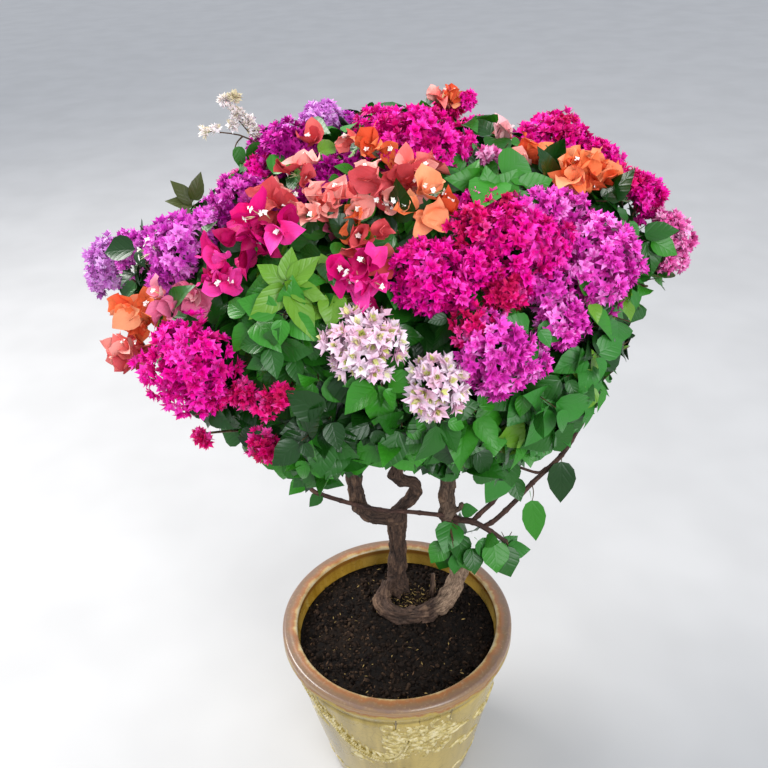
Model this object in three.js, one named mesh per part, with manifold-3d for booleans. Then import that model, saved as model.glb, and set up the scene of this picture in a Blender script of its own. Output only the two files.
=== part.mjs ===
// A potted bougainvillea bush. One old root lies on the soil of a glazed pot, two trunks rise
// from it, and their arms carry a round crown of leaves with blossom in many colours.
// Millimetres, +Z up. The origin is the middle of the pot's flat underside and the front is -Y.
import * as THREE from 'three';
import { mergeVertices } from 'three/addons/utils/BufferGeometryUtils.js';
import Module from 'manifold-3d';

const wasm = await Module();
wasm.setup();

const GAP = 0.3; // clearance between pieces that touch
// Edges shorter than a step are smoothed away; the first step that leaves a sound mesh is used.
const SMOOTHING = [0.05, 0.02, 0.1];

// The pot: a thrown and glazed tub with a rolled rim, filled with soil.
const POT_HEIGHT = 350;
const POT_RIM_RADIUS = 216.5;
const POT_SHOULDER_RADIUS = 205;
const POT_FOOT_RADIUS = 143;
const POT_BULGE = 3; // how far the wall swells past a straight taper
const POT_WALL = 17;
const POT_FLOOR = 20; // thickness of the pot's floor
const POT_SEGMENTS = 36;
const RIM_HEIGHT = 28;
const RIM_ROUNDING = 7;
const GROOVE_BELOW_RIM = 23;
const GROOVE_WIDTH = 7;
const GROOVE_DEPTH = 2.5;
const SOIL_LEVEL = 310;

// The crown's outline: an ellipsoid, shallower below its middle, round this centre.
const CROWN_CENTRE = new THREE.Vector3(0, 50, 1010);
const CROWN_HALF_WIDTH = 440;
const CROWN_HALF_DEPTH = 395;
const CROWN_RISE = 255;
const CROWN_DROP = 215;

// Leaves and bracts are larger than life, so that fewer of them fill the crown.
const LEAF_LENGTH = 104;
const LEAF_WIDTH = 72;
const LEAF_THICKNESS = 2.4;
const LEAF_FOLD = 7; // how far the sides stand above the midrib
const LEAF_DROOP = 0.16; // fall of the tip, as a share of the length
const LEAF_WIDEST = 0.42; // where the leaf is widest, as a share of the length
const LEAF_THICKEST = 0.16; // where the leaf is thickest, near its foot
const ROOT_SINK = 0.4; // how far a leaf's foot is sunk past its twig's middle
const BRACT_LENGTH = 46;
const BRACT_WIDTH = 40;
const BRACTS_IN_CLUSTER = 5;
const CLUSTER_RADIUS = 28; // a lobe of this radius holds bracts of the size above
const SMALL_HEAD = 36; // heads up to this radius are made with fewer faces
const HEAD_SPIKE = 0.2; // how unevenly a blossom head's points stand out, as a share of its radius

// Boughs leave the arms, stems carry their lines on, and twigs leave the stems.
const BOUGH_SHARE = 0.5; // how much of the way to its mass's middle a bough takes
const BOUGH_LIFT = 0.16; // how far a bough bends up, as a share of its length
const BOUGH_FOOT_RADIUS = 8.5; // a bough's foot is no thicker than this
const BOUGH_FOOT_SHARE = 0.78; // and no thicker than this share of the limb that carries it
const BOUGH_TIP_RADIUS = 5;
const STEM_RADIUS = 4.2;
const HUB_SHARE = 0.6; // how much of the rest of the way to the mass's middle its stem takes
const HUB_ROOM = 16; // a stem ends at least this far inside its mass's space
const TWIG_FOOT_RADIUS = 3;
const TWIG_TIP_RADIUS = 2.4;
const TWIG_SAG = 0.08; // how far a twig bends in towards the crown's middle, as a share of its length
const SHELL_TIPS = 48; // twig tips dealt evenly over the crown's outline
const SHELL_DEPTH = 0.1; // how far inside the outline a tip may lie, as a share of the way out
const LEAVES_ON_TWIG = 5;
const LEAFY_SHARE = 0.55; // how much of a twig, from its tip back, carries leaves
const TWIG_TRIES = 5; // places tried before a twig that finds no free way is left out
const LEAF_TRIES = 5; // turns tried before a leaf that finds no room is left out
const BARE_UNDERSIDE = -0.86; // no twig tip points further down than this share of straight down
const SEED = 2741;
const GOLDEN_ANGLE = Math.PI * (3 - Math.sqrt(5));
const GOLDEN_SHARE = (Math.sqrt(5) - 1) / 2;

// Trunks, arms and stems: the line of the middle from the foot up, and the radius at each point.
// A trunk's toes are short roots that run down into the soil at an azimuth and a reach.
const LIMBS = {
  trunk_centre: {
    line: [[4, 104, 300], [4, 104, 335], [7, 107, 414], [10, 108, 508]],
    radii: [30, 21, 17.5, 18],
    sides: 9,
    toes: [[-150, 46], [-35, 30], [100, 34]],
  },
  root_ring: {
    line: [[-16, 92, 352], [-27, 62, 326], [-8, 34, 319], [28, 24, 319], [62, 31, 321]],
    radii: [10, 16, 18, 19, 19],
    sides: 8,
  },
  trunk_right: {
    line: [
      [62, 31, 321], [96, 56, 326], [121, 84, 348], [130, 98, 385], [120, 101, 430], [106, 100, 520],
      [107, 96, 640], [122, 84, 760], [142, 66, 880], [150, 52, 950],
    ],
    radii: [19, 20, 19, 18, 17, 16, 15, 13, 10, 6],
    sides: 8,
  },
  root_upright: {
    line: [[73, 82, 305], [75, 92, 330], [76, 99, 358]],
    radii: [8, 7, 5],
    sides: 6,
  },
  arm_left_low: {
    line: [[10, 108, 500], [-18, 105, 502], [-44, 104, 512], [-61, 104, 530]],
    radii: [16, 15.5, 15, 15],
    sides: 8,
  },
  arm_left_high: {
    line: [
      [-61, 104, 530], [-64, 104, 566], [-67, 102, 600], [-78, 94, 700], [-98, 76, 820], [-112, 58, 930],
    ],
    radii: [15, 15, 14.5, 13, 10, 6],
    sides: 8,
  },
  arm_twisted: {
    line: [
      [10, 108, 505], [20, 105, 528], [37, 104, 548], [47, 104, 567], [41, 104, 584], [22, 103, 590],
      [11, 103, 602], [13, 102, 636], [10, 92, 740], [4, 74, 850], [0, 58, 950],
    ],
    radii: [15, 13, 12.5, 12.5, 12, 12, 12, 11.5, 11, 9, 6],
    sides: 8,
  },
  stem_crossing: {
    line: [[106, 88, 512], [78, 84, 522], [30, 84, 531], [-12, 83, 537], [-64, 84, 552], [-113, 80, 576]],
    radii: [4.5, 4.5, 4.2, 4.2, 4.2, 4.2],
    sides: 6,
  },
  stem_rising: {
    line: [[-113, 80, 576], [-144, 70, 604], [-157, 58, 660], [-156, 36, 730]],
    radii: [4.2, 4.1, 4, 3.8],
    sides: 6,
  },
  stem_sprout: {
    line: [[112, 96, 500], [132, 72, 515], [152, 58, 520], [182, 50, 503], [210, 50, 478]],
    radii: [7, 6.5, 6, 5, 4],
    sides: 6,
  },
  stem_inner: {
    line: [[146, 62, 517], [166, 68, 536], [187, 70, 559], [208, 70, 600], [206, 70, 650], [194, 66, 712]],
    radii: [4.8, 4.8, 4.6, 4.4, 4.2, 4],
    sides: 6,
  },
  stem_outer: {
    line: [[168, 54, 512], [190, 50, 532], [224, 50, 573], [252, 50, 612], [300, 48, 672], [322, 40, 730]],
    radii: [4.8, 4.8, 4.6, 4.4, 4.2, 4],
    sides: 6,
  },
  stem_link: {
    line: [[206, 70, 646], [235, 60, 639], [262, 52, 634], [276, 52, 644]],
    radii: [2.6, 2.6, 2.6, 2.6],
    sides: 5,
  },
};
const PRUNED_STUBS = {
  arm_twisted: { line: [[14, 103, 596], [-4, 102, 606]], radius: 8 },
  trunk_right: { line: [[106, 100, 515], [126, 88, 529], [131, 88, 543]], radius: 5.5 },
};

// The crown's masses. A bough leaves its carrier's line at the share given, or the mass grows
// direct from there or from the carrier's own tip. Its lobes are rows of kind, azimuth in degrees
// from the front towards +X, reach from the crown's upright axis, height and radius. The sprouts
// below the crown have their own number of twigs, and smaller leaves, two to a twig.
const MASSES = {
  left_low: {
    carrier: 'arm_left_high', at: 0.5, colour: 0xd4129b,
    lobes: [['double', -38, 382, 1054, 67], ['leaf', -44, 335, 985, 42], ['leaf', -28, 300, 1060, 20]],
  },
  left_far: {
    carrier: 'arm_left_high', at: 0.62, colour: 0xc353c8,
    lobes: [
      ['double', -84, 396, 1085, 44], ['double', -74, 356, 1118, 34], ['single', -59, 402, 1036, 36],
      ['single', -57, 378, 1092, 26], ['leaf', -80, 352, 1010, 50],
    ],
  },
  left_mid: {
    carrier: 'arm_left_high', at: 0.74, colour: 0xc04cc4,
    lobes: [
      ['double', -54, 316, 1164, 50], ['single', -46, 358, 1124, 20], ['single', -35, 326, 1146, 26],
      ['leaf', -66, 270, 1190, 30],
    ],
  },
  left_top: {
    carrier: 'arm_left_high', at: 0.86, colour: 0xb83fbd,
    lobes: [['double', -49, 232, 1214, 42], ['single', -31, 269, 1189, 34], ['double', -100, 190, 1225, 36]],
  },
  front_left: {
    carrier: 'arm_left_high', at: 0.8, colour: 0x3f7a35,
    lobes: [['leaf', -21, 330, 1112, 48], ['leaf', -23, 335, 1040, 30], ['single', -6, 300, 1160, 30]],
  },
  top_left: {
    carrier: 'arm_twisted', at: 0.8, colour: 0xc8189c,
    lobes: [['double', -58, 136, 1240, 50], ['double', -128, 98, 1252, 42], ['double', -24, 150, 1218, 38]],
  },
  front_top: {
    carrier: 'arm_twisted', at: 0.87, colour: 0xea6f70,
    lobes: [
      ['single', -31, 196, 1232, 28], ['single', -17, 236, 1208, 28], ['single', 1, 205, 1230, 30],
      ['single', 13, 232, 1212, 28], ['single', -3, 268, 1184, 28], ['leaf', -4, 170, 1150, 50],
    ],
  },
  top_centre: {
    carrier: 'arm_twisted', at: 0.94, colour: 0xd0108f,
    lobes: [['double', 28, 105, 1236, 72], ['leaf', 36, 232, 1206, 42], ['double', 54, 180, 1232, 20]],
  },
  top_tip: {
    carrier: 'trunk_right', at: 0.95, colour: 0xdb4f86,
    lobes: [['double', 138, 159, 1262, 40], ['single', 120, 226, 1222, 22], ['leaf', 120, 185, 1190, 40]],
  },
  front_low: {
    carrier: 'arm_twisted', at: 0.73, colour: 0xf0d3e2,
    lobes: [['double', -4, 350, 1098, 50], ['double', 8, 374, 1050, 44], ['leaf', 2, 340, 985, 40]],
  },
  right_front: {
    carrier: 'trunk_right', at: 0.85, colour: 0xd82492,
    lobes: [
      ['double', 10, 300, 1154, 50], ['double', 31, 296, 1163, 66], ['double', 46, 270, 1188, 44],
      ['double', 50, 345, 1132, 64], ['leaf', 64, 350, 1080, 34],
    ],
  },
  right_low: {
    carrier: 'trunk_right', at: 0.76, colour: 0xdb3ba0,
    lobes: [['double', 20, 366, 1074, 54], ['double', 36, 360, 1084, 38], ['leaf', 28, 345, 1015, 30]],
  },
  right_top: {
    carrier: 'trunk_right', at: 0.93, colour: 0xd3207f,
    lobes: [
      ['double', 106, 279, 1204, 60], ['double', 97, 325, 1172, 50], ['single', 65, 268, 1198, 34],
      ['single', 80, 300, 1176, 30],
    ],
  },
  right_far: {
    carrier: 'trunk_right', at: 0.8, colour: 0xd9508f,
    lobes: [['double', 91, 390, 1142, 42], ['double', 84, 420, 1088, 42], ['leaf', 76, 392, 1035, 36]],
  },
  back_left: {
    carrier: 'arm_left_high', at: 0.93, colour: 0xbb4fc0,
    lobes: [
      ['double', -114, 252, 1238, 34], ['double', -112, 330, 1150, 50], ['double', -138, 250, 1196, 50],
      ['double', -136, 352, 1100, 46], ['leaf', -124, 330, 1060, 50],
    ],
  },
  back_centre: {
    carrier: 'arm_twisted', at: 0.98, colour: 0xcf1f92,
    lobes: [
      ['double', 178, 200, 1218, 54], ['double', -160, 290, 1162, 50], ['double', 160, 300, 1160, 52],
      ['single', 180, 330, 1110, 34], ['leaf', 178, 340, 1060, 55],
    ],
  },
  back_right: {
    carrier: 'trunk_right', at: 0.98, colour: 0xd83a8a,
    lobes: [
      ['double', 128, 330, 1130, 56], ['double', 142, 250, 1190, 46], ['double', 112, 380, 1090, 44],
      ['leaf', 130, 370, 1050, 50],
    ],
  },
  back_low_left: {
    carrier: 'arm_left_high', at: 0.68, colour: 0x3b7733,
    lobes: [['leaf', -112, 385, 985, 60], ['double', -140, 375, 1000, 44], ['leaf', -160, 345, 950, 60]],
  },
  back_low_right: {
    carrier: 'trunk_right', at: 0.7, colour: 0x3b7733,
    lobes: [['leaf', 108, 390, 985, 60], ['double', 136, 378, 1000, 44], ['leaf', 160, 345, 950, 60]],
  },
  skirt_left: {
    carrier: 'stem_rising', colour: 0x387432,
    lobes: [
      ['sprig', -23, 378, 1016, 24], ['sprig', -26, 370, 955, 28], ['sprig', -44, 366, 926, 17],
      ['leaf', -14, 342, 965, 45], ['leaf', -11, 312, 888, 52], ['leaf', -34, 300, 905, 50],
    ],
  },
  skirt_centre: {
    carrier: 'stem_inner', colour: 0x387432,
    lobes: [['leaf', 12, 330, 930, 55], ['leaf', 10, 290, 870, 55], ['leaf', 30, 270, 860, 45]],
  },
  skirt_right: {
    carrier: 'stem_outer', colour: 0x3c7a35,
    lobes: [['leaf', 42, 380, 1010, 30], ['leaf', 36, 362, 930, 45], ['leaf', 58, 372, 960, 45]],
  },
  sprout_cluster: {
    carrier: 'trunk_right', at: 0.54, direct: true, colour: 0x35702f,
    sprout: { tips: 6, leaves: 2, size: 0.78 },
    lobes: [['leaf', 80, 112, 486, 62]],
  },
  sprout_tip: {
    carrier: 'stem_sprout', colour: 0x35702f,
    sprout: { tips: 4, leaves: 2, size: 0.7 },
    lobes: [['leaf', 90, 218, 462, 44]],
  },
};

// Repeatable random shares between 0 and 1.
let state = SEED;
function random() {
  state = (Math.imul(state, 1664525) + 1013904223) >>> 0;
  return state / 4294967296;
}

// A closed three.js geometry as a solid that can be joined and cut.
function solidOf(geometry, tolerance = 1e-4) {
  geometry.deleteAttribute('normal');
  geometry.deleteAttribute('uv');
  const merged = mergeVertices(geometry, tolerance);
  const triVerts = new Uint32Array(merged.index.array);
  return new wasm.Manifold(
    new wasm.Mesh({ numProp: 3, vertProperties: merged.attributes.position.array, triVerts }),
  );
}

function geometryOf(solid) {
  const { vertProperties, triVerts } = solid.getMesh();
  const geometry = new THREE.BufferGeometry();
  geometry.setAttribute('position', new THREE.BufferAttribute(new Float32Array(vertProperties), 3));
  geometry.setIndex(new THREE.BufferAttribute(new Uint32Array(triVerts), 1));
  return geometry;
}

// A solid's largest body: scraps are dropped and sealed hollows are filled.
function largestBody(solid) {
  return solid.decompose().reduce((a, b) => (b.volume() > a.volume() ? b : a));
}

// Whether each edge of a geometry belongs to exactly two faces.
function edgesPair(geometry) {
  const faces = new Map();
  const corner = geometry.index.array;
  for (let i = 0; i < corner.length; i += 3) {
    for (let side = 0; side < 3; side += 1) {
      const [a, b] = [corner[i + side], corner[i + ((side + 1) % 3)]];
      const edge = Math.min(a, b) + '-' + Math.max(a, b);
      faces.set(edge, (faces.get(edge) || 0) + 1);
    }
  }
  return [...faces.values()].every((count) => count === 2);
}

// A named mesh of one body. Its corners are merged once more, so that a leaf held by a neck
// thinner than a micron is dropped rather than left as a scrap.
function nodeOf(name, solid, look) {
  let geometry;
  for (const step of SMOOTHING) {
    const joined = largestBody(solid.asOriginal().simplify(step));
    geometry = mergeVertices(geometryOf(largestBody(solidOf(geometryOf(joined), 1e-3))), 1e-3);
    if (edgesPair(geometry)) break;
  }
  geometry.computeVertexNormals();
  const mesh = new THREE.Mesh(geometry, new THREE.MeshStandardMaterial(look));
  mesh.name = name;
  return mesh;
}

// The point at an azimuth from the front, a reach from the crown's axis, and a height.
function placeOf(azimuth, reach, height) {
  const turn = THREE.MathUtils.degToRad(azimuth);
  return new THREE.Vector3(
    CROWN_CENTRE.x + reach * Math.sin(turn),
    CROWN_CENTRE.y - reach * Math.cos(turn),
    height,
  );
}

// A closed tube along a curve, with its radius at each share of the way.
function tubeOf(curve, radiusAt, sides, steps) {
  const geometry = new THREE.CylinderGeometry(1, 1, 1, sides, steps);
  const rings = [];
  const normal = new THREE.Vector3(0.31, 0.87, 0.38);
  for (let step = 0; step <= steps; step += 1) {
    const tangent = curve.getTangent(step / steps);
    normal.addScaledVector(tangent, -normal.dot(tangent)).normalize();
    rings.push({
      centre: curve.getPoint(step / steps),
      normal: normal.clone(),
      binormal: normal.clone().cross(tangent),
      radius: radiusAt(step / steps),
    });
  }
  const position = geometry.attributes.position;
  for (let i = 0; i < position.count; i += 1) {
    const ring = rings[Math.round((position.getY(i) + 0.5) * steps)];
    const point = ring.centre.clone();
    point.addScaledVector(ring.normal, position.getX(i) * ring.radius);
    point.addScaledVector(ring.binormal, position.getZ(i) * ring.radius);
    position.setXYZ(i, point.x, point.y, point.z);
  }
  return solidOf(geometry);
}

// A curve through a limb's points, and the limb's radius at a share of the way along it.
function lineOf(points) {
  return new THREE.CatmullRomCurve3(points.map((p) => new THREE.Vector3(...p)), false, 'catmullrom', 0.5);
}
function radiusAlong(radii) {
  return (share) => {
    const place = share * (radii.length - 1);
    const before = Math.min(Math.floor(place), radii.length - 2);
    return THREE.MathUtils.lerp(radii[before], radii[before + 1], place - before);
  };
}

// A leaf or bract of eight faces: its foot is sunk in the twig, and its face looks along facing.
function bladeOf(foot, direction, facing, length, width) {
  const along = direction.clone().normalize();
  const side = along.clone().cross(facing).normalize();
  const up = side.clone().cross(along);
  const geometry = new THREE.OctahedronGeometry(1);
  const position = geometry.attributes.position;
  for (let i = 0; i < position.count; i += 1) {
    const [x, y, z] = [position.getX(i), position.getY(i), position.getZ(i)];
    const middle = Math.abs(z) > 0.5 ? LEAF_THICKEST : LEAF_WIDEST;
    const share = Math.abs(y) > 0.5 ? (y + 1) / 2 : middle;
    const droop = y > 0.5 ? LEAF_DROOP * length : 0;
    const rise = (z * LEAF_THICKNESS) / 2 + Math.abs(x) * LEAF_FOLD - droop;
    const point = foot.clone().addScaledVector(along, share * (length + ROOT_SINK) - ROOT_SINK);
    point.addScaledVector(side, (x * width) / 2).addScaledVector(up, rise);
    position.setXYZ(i, point.x, point.y, point.z);
  }
  return solidOf(geometry);
}

// A ball of small double bracts: a faceted ball with uneven points.
function headOf(centre, radius) {
  const ball = new THREE.IcosahedronGeometry(1, radius > SMALL_HEAD ? 1 : 0);
  const geometry = mergeVertices(ball.deleteAttribute('normal').deleteAttribute('uv'));
  const position = geometry.attributes.position;
  for (let i = 0; i < position.count; i += 1) {
    const reach = radius * (1 - HEAD_SPIKE * random());
    const point = new THREE.Vector3().fromBufferAttribute(position, i).multiplyScalar(reach).add(centre);
    position.setXYZ(i, point.x, point.y, point.z);
  }
  return solidOf(geometry);
}

// Pot and soil
function makePot() {
  const slope = (POT_SHOULDER_RADIUS - POT_FOOT_RADIUS) / (POT_HEIGHT - RIM_HEIGHT);
  const wallAt = (height) => {
    const share = height / (POT_HEIGHT - RIM_HEIGHT);
    return POT_FOOT_RADIUS + slope * height + POT_BULGE * Math.sin(Math.PI * share);
  };
  const rimFoot = POT_HEIGHT - RIM_HEIGHT;
  const grooveTop = rimFoot - GROOVE_BELOW_RIM;
  const inner = (height) => wallAt(height) - POT_WALL;
  const profile = [
    [0, 0],
    [POT_FOOT_RADIUS, 0],
    [wallAt(rimFoot / 3), rimFoot / 3],
    [wallAt((rimFoot * 2) / 3), (rimFoot * 2) / 3],
    [wallAt(grooveTop - GROOVE_WIDTH), grooveTop - GROOVE_WIDTH],
    [wallAt(grooveTop) - GROOVE_DEPTH, grooveTop - GROOVE_WIDTH / 2],
    [wallAt(grooveTop), grooveTop],
    [wallAt(rimFoot), rimFoot],
    [POT_RIM_RADIUS, rimFoot + RIM_ROUNDING],
    [POT_RIM_RADIUS, POT_HEIGHT - RIM_ROUNDING],
    [POT_RIM_RADIUS - RIM_ROUNDING, POT_HEIGHT],
    [inner(rimFoot) + RIM_ROUNDING, POT_HEIGHT],
    [inner(rimFoot), POT_HEIGHT - RIM_ROUNDING],
    [inner(POT_FLOOR), POT_FLOOR],
    [0, POT_FLOOR],
  ];
  const outline = profile.map(([radius, height]) => new THREE.Vector2(radius, height));
  const pot = solidOf(new THREE.LatheGeometry(outline, POT_SEGMENTS).rotateX(Math.PI / 2));
  // The soil is as wide as the straight inside wall at each height, less the gap.
  const innerAt = (height) => {
    const share = (height - POT_FLOOR) / (POT_HEIGHT - RIM_ROUNDING - POT_FLOOR);
    return THREE.MathUtils.lerp(inner(POT_FLOOR), inner(rimFoot), share) - GAP;
  };
  const floor = POT_FLOOR + GAP;
  const soilOutline = [
    new THREE.Vector2(0, floor),
    new THREE.Vector2(innerAt(floor), floor),
    new THREE.Vector2(innerAt(SOIL_LEVEL), SOIL_LEVEL),
    new THREE.Vector2(0, SOIL_LEVEL),
  ];
  const soil = solidOf(new THREE.LatheGeometry(soilOutline, POT_SEGMENTS).rotateX(Math.PI / 2));
  return [
    nodeOf('pot', pot, { color: 0xc9a64a, roughness: 0.3, metalness: 0 }),
    nodeOf('soil', soil, { color: 0x2e2621, roughness: 0.95, metalness: 0 }),
  ];
}

// Trunks, arms and stems. Each is cut clear of those before it, and level with the soil.
const BARK = { color: 0x6d5040, roughness: 0.9, metalness: 0 };
const RINGS_PER_POINT = 1.4; // rings of corners along a limb, for each point of its line
const TOE_RISE = 30; // height above the soil at which a toe leaves its trunk
const TOE_RADIUS = 14;
const TOE_TAPER = 7; // how much thinner a toe is at its end
const belowGround = solidOf(
  new THREE.BoxGeometry(2 * POT_RIM_RADIUS, 2 * POT_RIM_RADIUS, SOIL_LEVEL).translate(
    0, 0, SOIL_LEVEL / 2 + GAP,
  ),
);
const empty = belowGround.subtract(belowGround);
let limbsGrown = empty; // every limb so far, a gap larger all round

function toeOf([x, y], azimuth, reach, extra) {
  const turn = THREE.MathUtils.degToRad(azimuth);
  const pointAt = (share, height) =>
    [x + share * reach * Math.cos(turn), y + share * reach * Math.sin(turn), SOIL_LEVEL + height];
  const line = lineOf([pointAt(0, TOE_RISE), pointAt(0.5, TOE_RISE / 2), pointAt(1, -TOE_RISE / 8)]);
  return tubeOf(line, (share) => TOE_RADIUS - TOE_TAPER * share + extra, 6, 3);
}

function limbOf({ line, radii, sides, toes = [] }, stub, extra) {
  const radiusAt = radiusAlong(radii);
  const rings = Math.round(RINGS_PER_POINT * line.length);
  let limb = tubeOf(lineOf(line), (share) => radiusAt(share) + extra, sides, rings);
  for (const [azimuth, reach] of toes) limb = limb.add(toeOf(line[1], azimuth, reach, extra));
  if (stub) {
    limb = limb.add(tubeOf(lineOf(stub.line), () => stub.radius + extra, 6, stub.line.length - 1));
  }
  return limb;
}

function makeLimb(name, limb) {
  const solid = limbOf(limb, PRUNED_STUBS[name], 0).subtract(limbsGrown).subtract(belowGround);
  limbsGrown = limbsGrown.add(limbOf(limb, PRUNED_STUBS[name], GAP));
  return nodeOf(name, solid, BARK);
}

// Every mass's lobes. A point belongs to the mass whose lobe is nearest, measured from the
// lobe's ball rather than its centre, and each mass keeps to the points that belong to it.
const lobes = Object.entries(MASSES).flatMap(([mass, row]) =>
  row.lobes.map(([kind, azimuth, reach, height, radius]) =>
    ({ mass, kind, centre: placeOf(azimuth, reach, height), radius })));

const lobesOf = (mass) => lobes.filter((lobe) => lobe.mass === mass);
const powerOf = (lobe, point) => lobe.centre.distanceToSquared(point) - lobe.radius ** 2;

// How far inside a mass's space a point lies; less than nothing outside it.
function clearanceIn(mass, point) {
  const own = lobesOf(mass).reduce((a, b) => (powerOf(b, point) < powerOf(a, point) ? b : a));
  const others = lobes.filter((lobe) => lobe.mass !== mass);
  return Math.min(...others.map((lobe) =>
    (powerOf(lobe, point) - powerOf(own, point)) / (2 * lobe.centre.distanceTo(own.centre))));
}

// The middle of a mass, where larger lobes count for more.
function middleOf(mass) {
  const middle = new THREE.Vector3();
  let weight = 0;
  for (const { centre, radius } of lobesOf(mass)) {
    middle.addScaledVector(centre, radius);
    weight += radius;
  }
  return middle.divideScalar(weight);
}

// Where a mass's stem starts and which way it heads, with the bough that leads there.
function startOf(row, middle) {
  const carrier = LIMBS[row.carrier];
  const curve = lineOf(carrier.line);
  if (row.at === undefined) return { root: curve.getPoint(1), heading: curve.getTangent(1) };
  const start = curve.getPoint(row.at);
  if (row.direct) return { root: start, heading: middle.clone().sub(start).normalize() };
  const root = start.clone().lerp(middle, BOUGH_SHARE);
  const bend = start.clone().lerp(root, 0.5);
  bend.z += BOUGH_LIFT * start.distanceTo(root);
  const bough = new THREE.QuadraticBezierCurve3(start, bend, root);
  const boughFoot = Math.min(BOUGH_FOOT_RADIUS, BOUGH_FOOT_SHARE * radiusAlong(carrier.radii)(row.at));
  return { root, heading: bough.getTangent(1), bough, boughFoot };
}

// A stem carries its bough's line on to a hub inside the mass's lobes. A hub that another mass's
// space holds is moved in steps towards the mass's largest lobe until its own space holds it.
function stemFrom(name, { root, heading }, middle) {
  const largest = lobesOf(name).reduce((a, b) => (b.radius > a.radius ? b : a));
  const hub = root.clone().lerp(middle, HUB_SHARE);
  for (let step = 0; step < 12 && clearanceIn(name, hub) < HUB_ROOM; step += 1) {
    hub.lerp(largest.centre, 0.12);
  }
  const foot = root.clone().addScaledVector(heading, GAP);
  const bend = foot.clone().addScaledVector(heading, 0.4 * foot.distanceTo(hub));
  return new THREE.QuadraticBezierCurve3(foot, bend, hub);
}

// The share of a stem past which its mass's own space holds it, and twigs leave it.
function entryOf(name, stem) {
  let entry = 0.12;
  while (entry < 0.9 && clearanceIn(name, stem.getPoint(entry)) < TWIG_FOOT_RADIUS + GAP) entry += 0.06;
  return entry;
}

const plans = Object.entries(MASSES).map(([name, row]) => {
  const middle = middleOf(name);
  const start = startOf(row, middle);
  const stem = stemFrom(name, start, middle);
  return { name, ...start, stem, entry: entryOf(name, stem), colour: row.colour, sprout: row.sprout };
});

function boughOf({ bough, boughFoot }, extra) {
  return tubeOf(bough, (share) => THREE.MathUtils.lerp(boughFoot, BOUGH_TIP_RADIUS, share) + extra, 6, 2);
}
function stemOf({ stem }, extra) {
  return tubeOf(stem, () => STEM_RADIUS + extra, 5, 3);
}

function makeBough(plan) {
  const solid = boughOf(plan, 0).subtract(limbsGrown);
  limbsGrown = limbsGrown.add(boughOf(plan, GAP));
  return nodeOf('bough_' + plan.name, solid, BARK);
}

// Twig tips by the golden angle: over the crown's whole outline, and round a sprout's lobe.
function goldenDirection(index, count) {
  const height = 1 - (2 * (index + 0.5)) / count;
  const flat = Math.sqrt(1 - height * height);
  const turn = index * GOLDEN_ANGLE;
  return new THREE.Vector3(flat * Math.cos(turn), flat * Math.sin(turn), height);
}

// How far the crown's outline lies from its centre in a direction.
function crownReach({ x, y, z }) {
  const tall = z > 0 ? CROWN_RISE : CROWN_DROP;
  return 1 / Math.hypot(x / CROWN_HALF_WIDTH, y / CROWN_HALF_DEPTH, z / tall);
}

const shellTips = [];
for (let index = 0; index < SHELL_TIPS; index += 1) {
  const direction = goldenDirection(index, SHELL_TIPS);
  const share = 1 - SHELL_DEPTH * random();
  if (direction.z < BARE_UNDERSIDE) continue;
  shellTips.push(CROWN_CENTRE.clone().addScaledVector(direction, crownReach(direction) * share));
}

function tipsOf({ name, sprout }) {
  const own = lobesOf(name);
  if (sprout) {
    return Array.from({ length: sprout.tips }, (_, index) =>
      own[0].centre.clone().addScaledVector(goldenDirection(index, sprout.tips), own[0].radius * 0.7));
  }
  const underBlossom = (tip) => own.some(({ kind, centre, radius }) =>
    kind !== 'leaf' && centre.distanceTo(tip) < radius * 0.9);
  return shellTips.filter((tip) => clearanceIn(name, tip) > GAP && !underBlossom(tip));
}

function cornersOf(solid) {
  const position = geometryOf(solid).attributes.position;
  return Array.from({ length: position.count }, (_, i) =>
    new THREE.Vector3().fromBufferAttribute(position, i));
}

function boxesMeet(a, b) {
  return [0, 1, 2].every((axis) => a.min[axis] - GAP < b.max[axis] && b.min[axis] - GAP < a.max[axis]);
}

// Whether a solid meets one of some pieces that keep their boxes with them.
function meetsAny(pieces, solid, box) {
  return pieces.some((piece) => boxesMeet(piece.box, box) && !piece.solid.intersect(solid).isEmpty());
}

// A part is kept where it lies in its mass's own space and, grown by the gap, touches no limb,
// no other mass's stem and no mass already made.
const massesMade = [];
function keep(mass, part, grown) {
  const inside = cornersOf(part).every((corner) => clearanceIn(mass.plan.name, corner) > GAP);
  if (!inside || !mass.inTheWay.intersect(grown).isEmpty()) return false;
  if (meetsAny(massesMade, grown, grown.boundingBox())) return false;
  mass.parts.push(part);
  return true;
}

// A twig leaves the stem at the first of a few places from which it finds a free way to its tip.
function growTwig(mass, tip) {
  const { plan, twigs } = mass;
  const outward = tip.clone().sub(CROWN_CENTRE).normalize();
  for (let attempt = 0; attempt < TWIG_TRIES; attempt += 1) {
    const dealt = (twigs.length * GOLDEN_SHARE + attempt * 0.23) % 1;
    const foot = plan.stem.getPoint(1 - (1 - plan.entry) * dealt);
    const bend = foot.clone().lerp(tip, 0.55).addScaledVector(outward, -TWIG_SAG * foot.distanceTo(tip));
    const curve = new THREE.QuadraticBezierCurve3(foot, bend, tip);
    const twigOf = (extra) =>
      tubeOf(curve, (share) => THREE.MathUtils.lerp(TWIG_FOOT_RADIUS, TWIG_TIP_RADIUS, share) + extra, 3, 2);
    const solid = twigOf(0);
    if (keep(mass, solid, twigOf(GAP))) {
      const twig = { curve, outward, solid, box: solid.boundingBox() };
      twigs.push(twig);
      return twig;
    }
  }
  return null;
}

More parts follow.
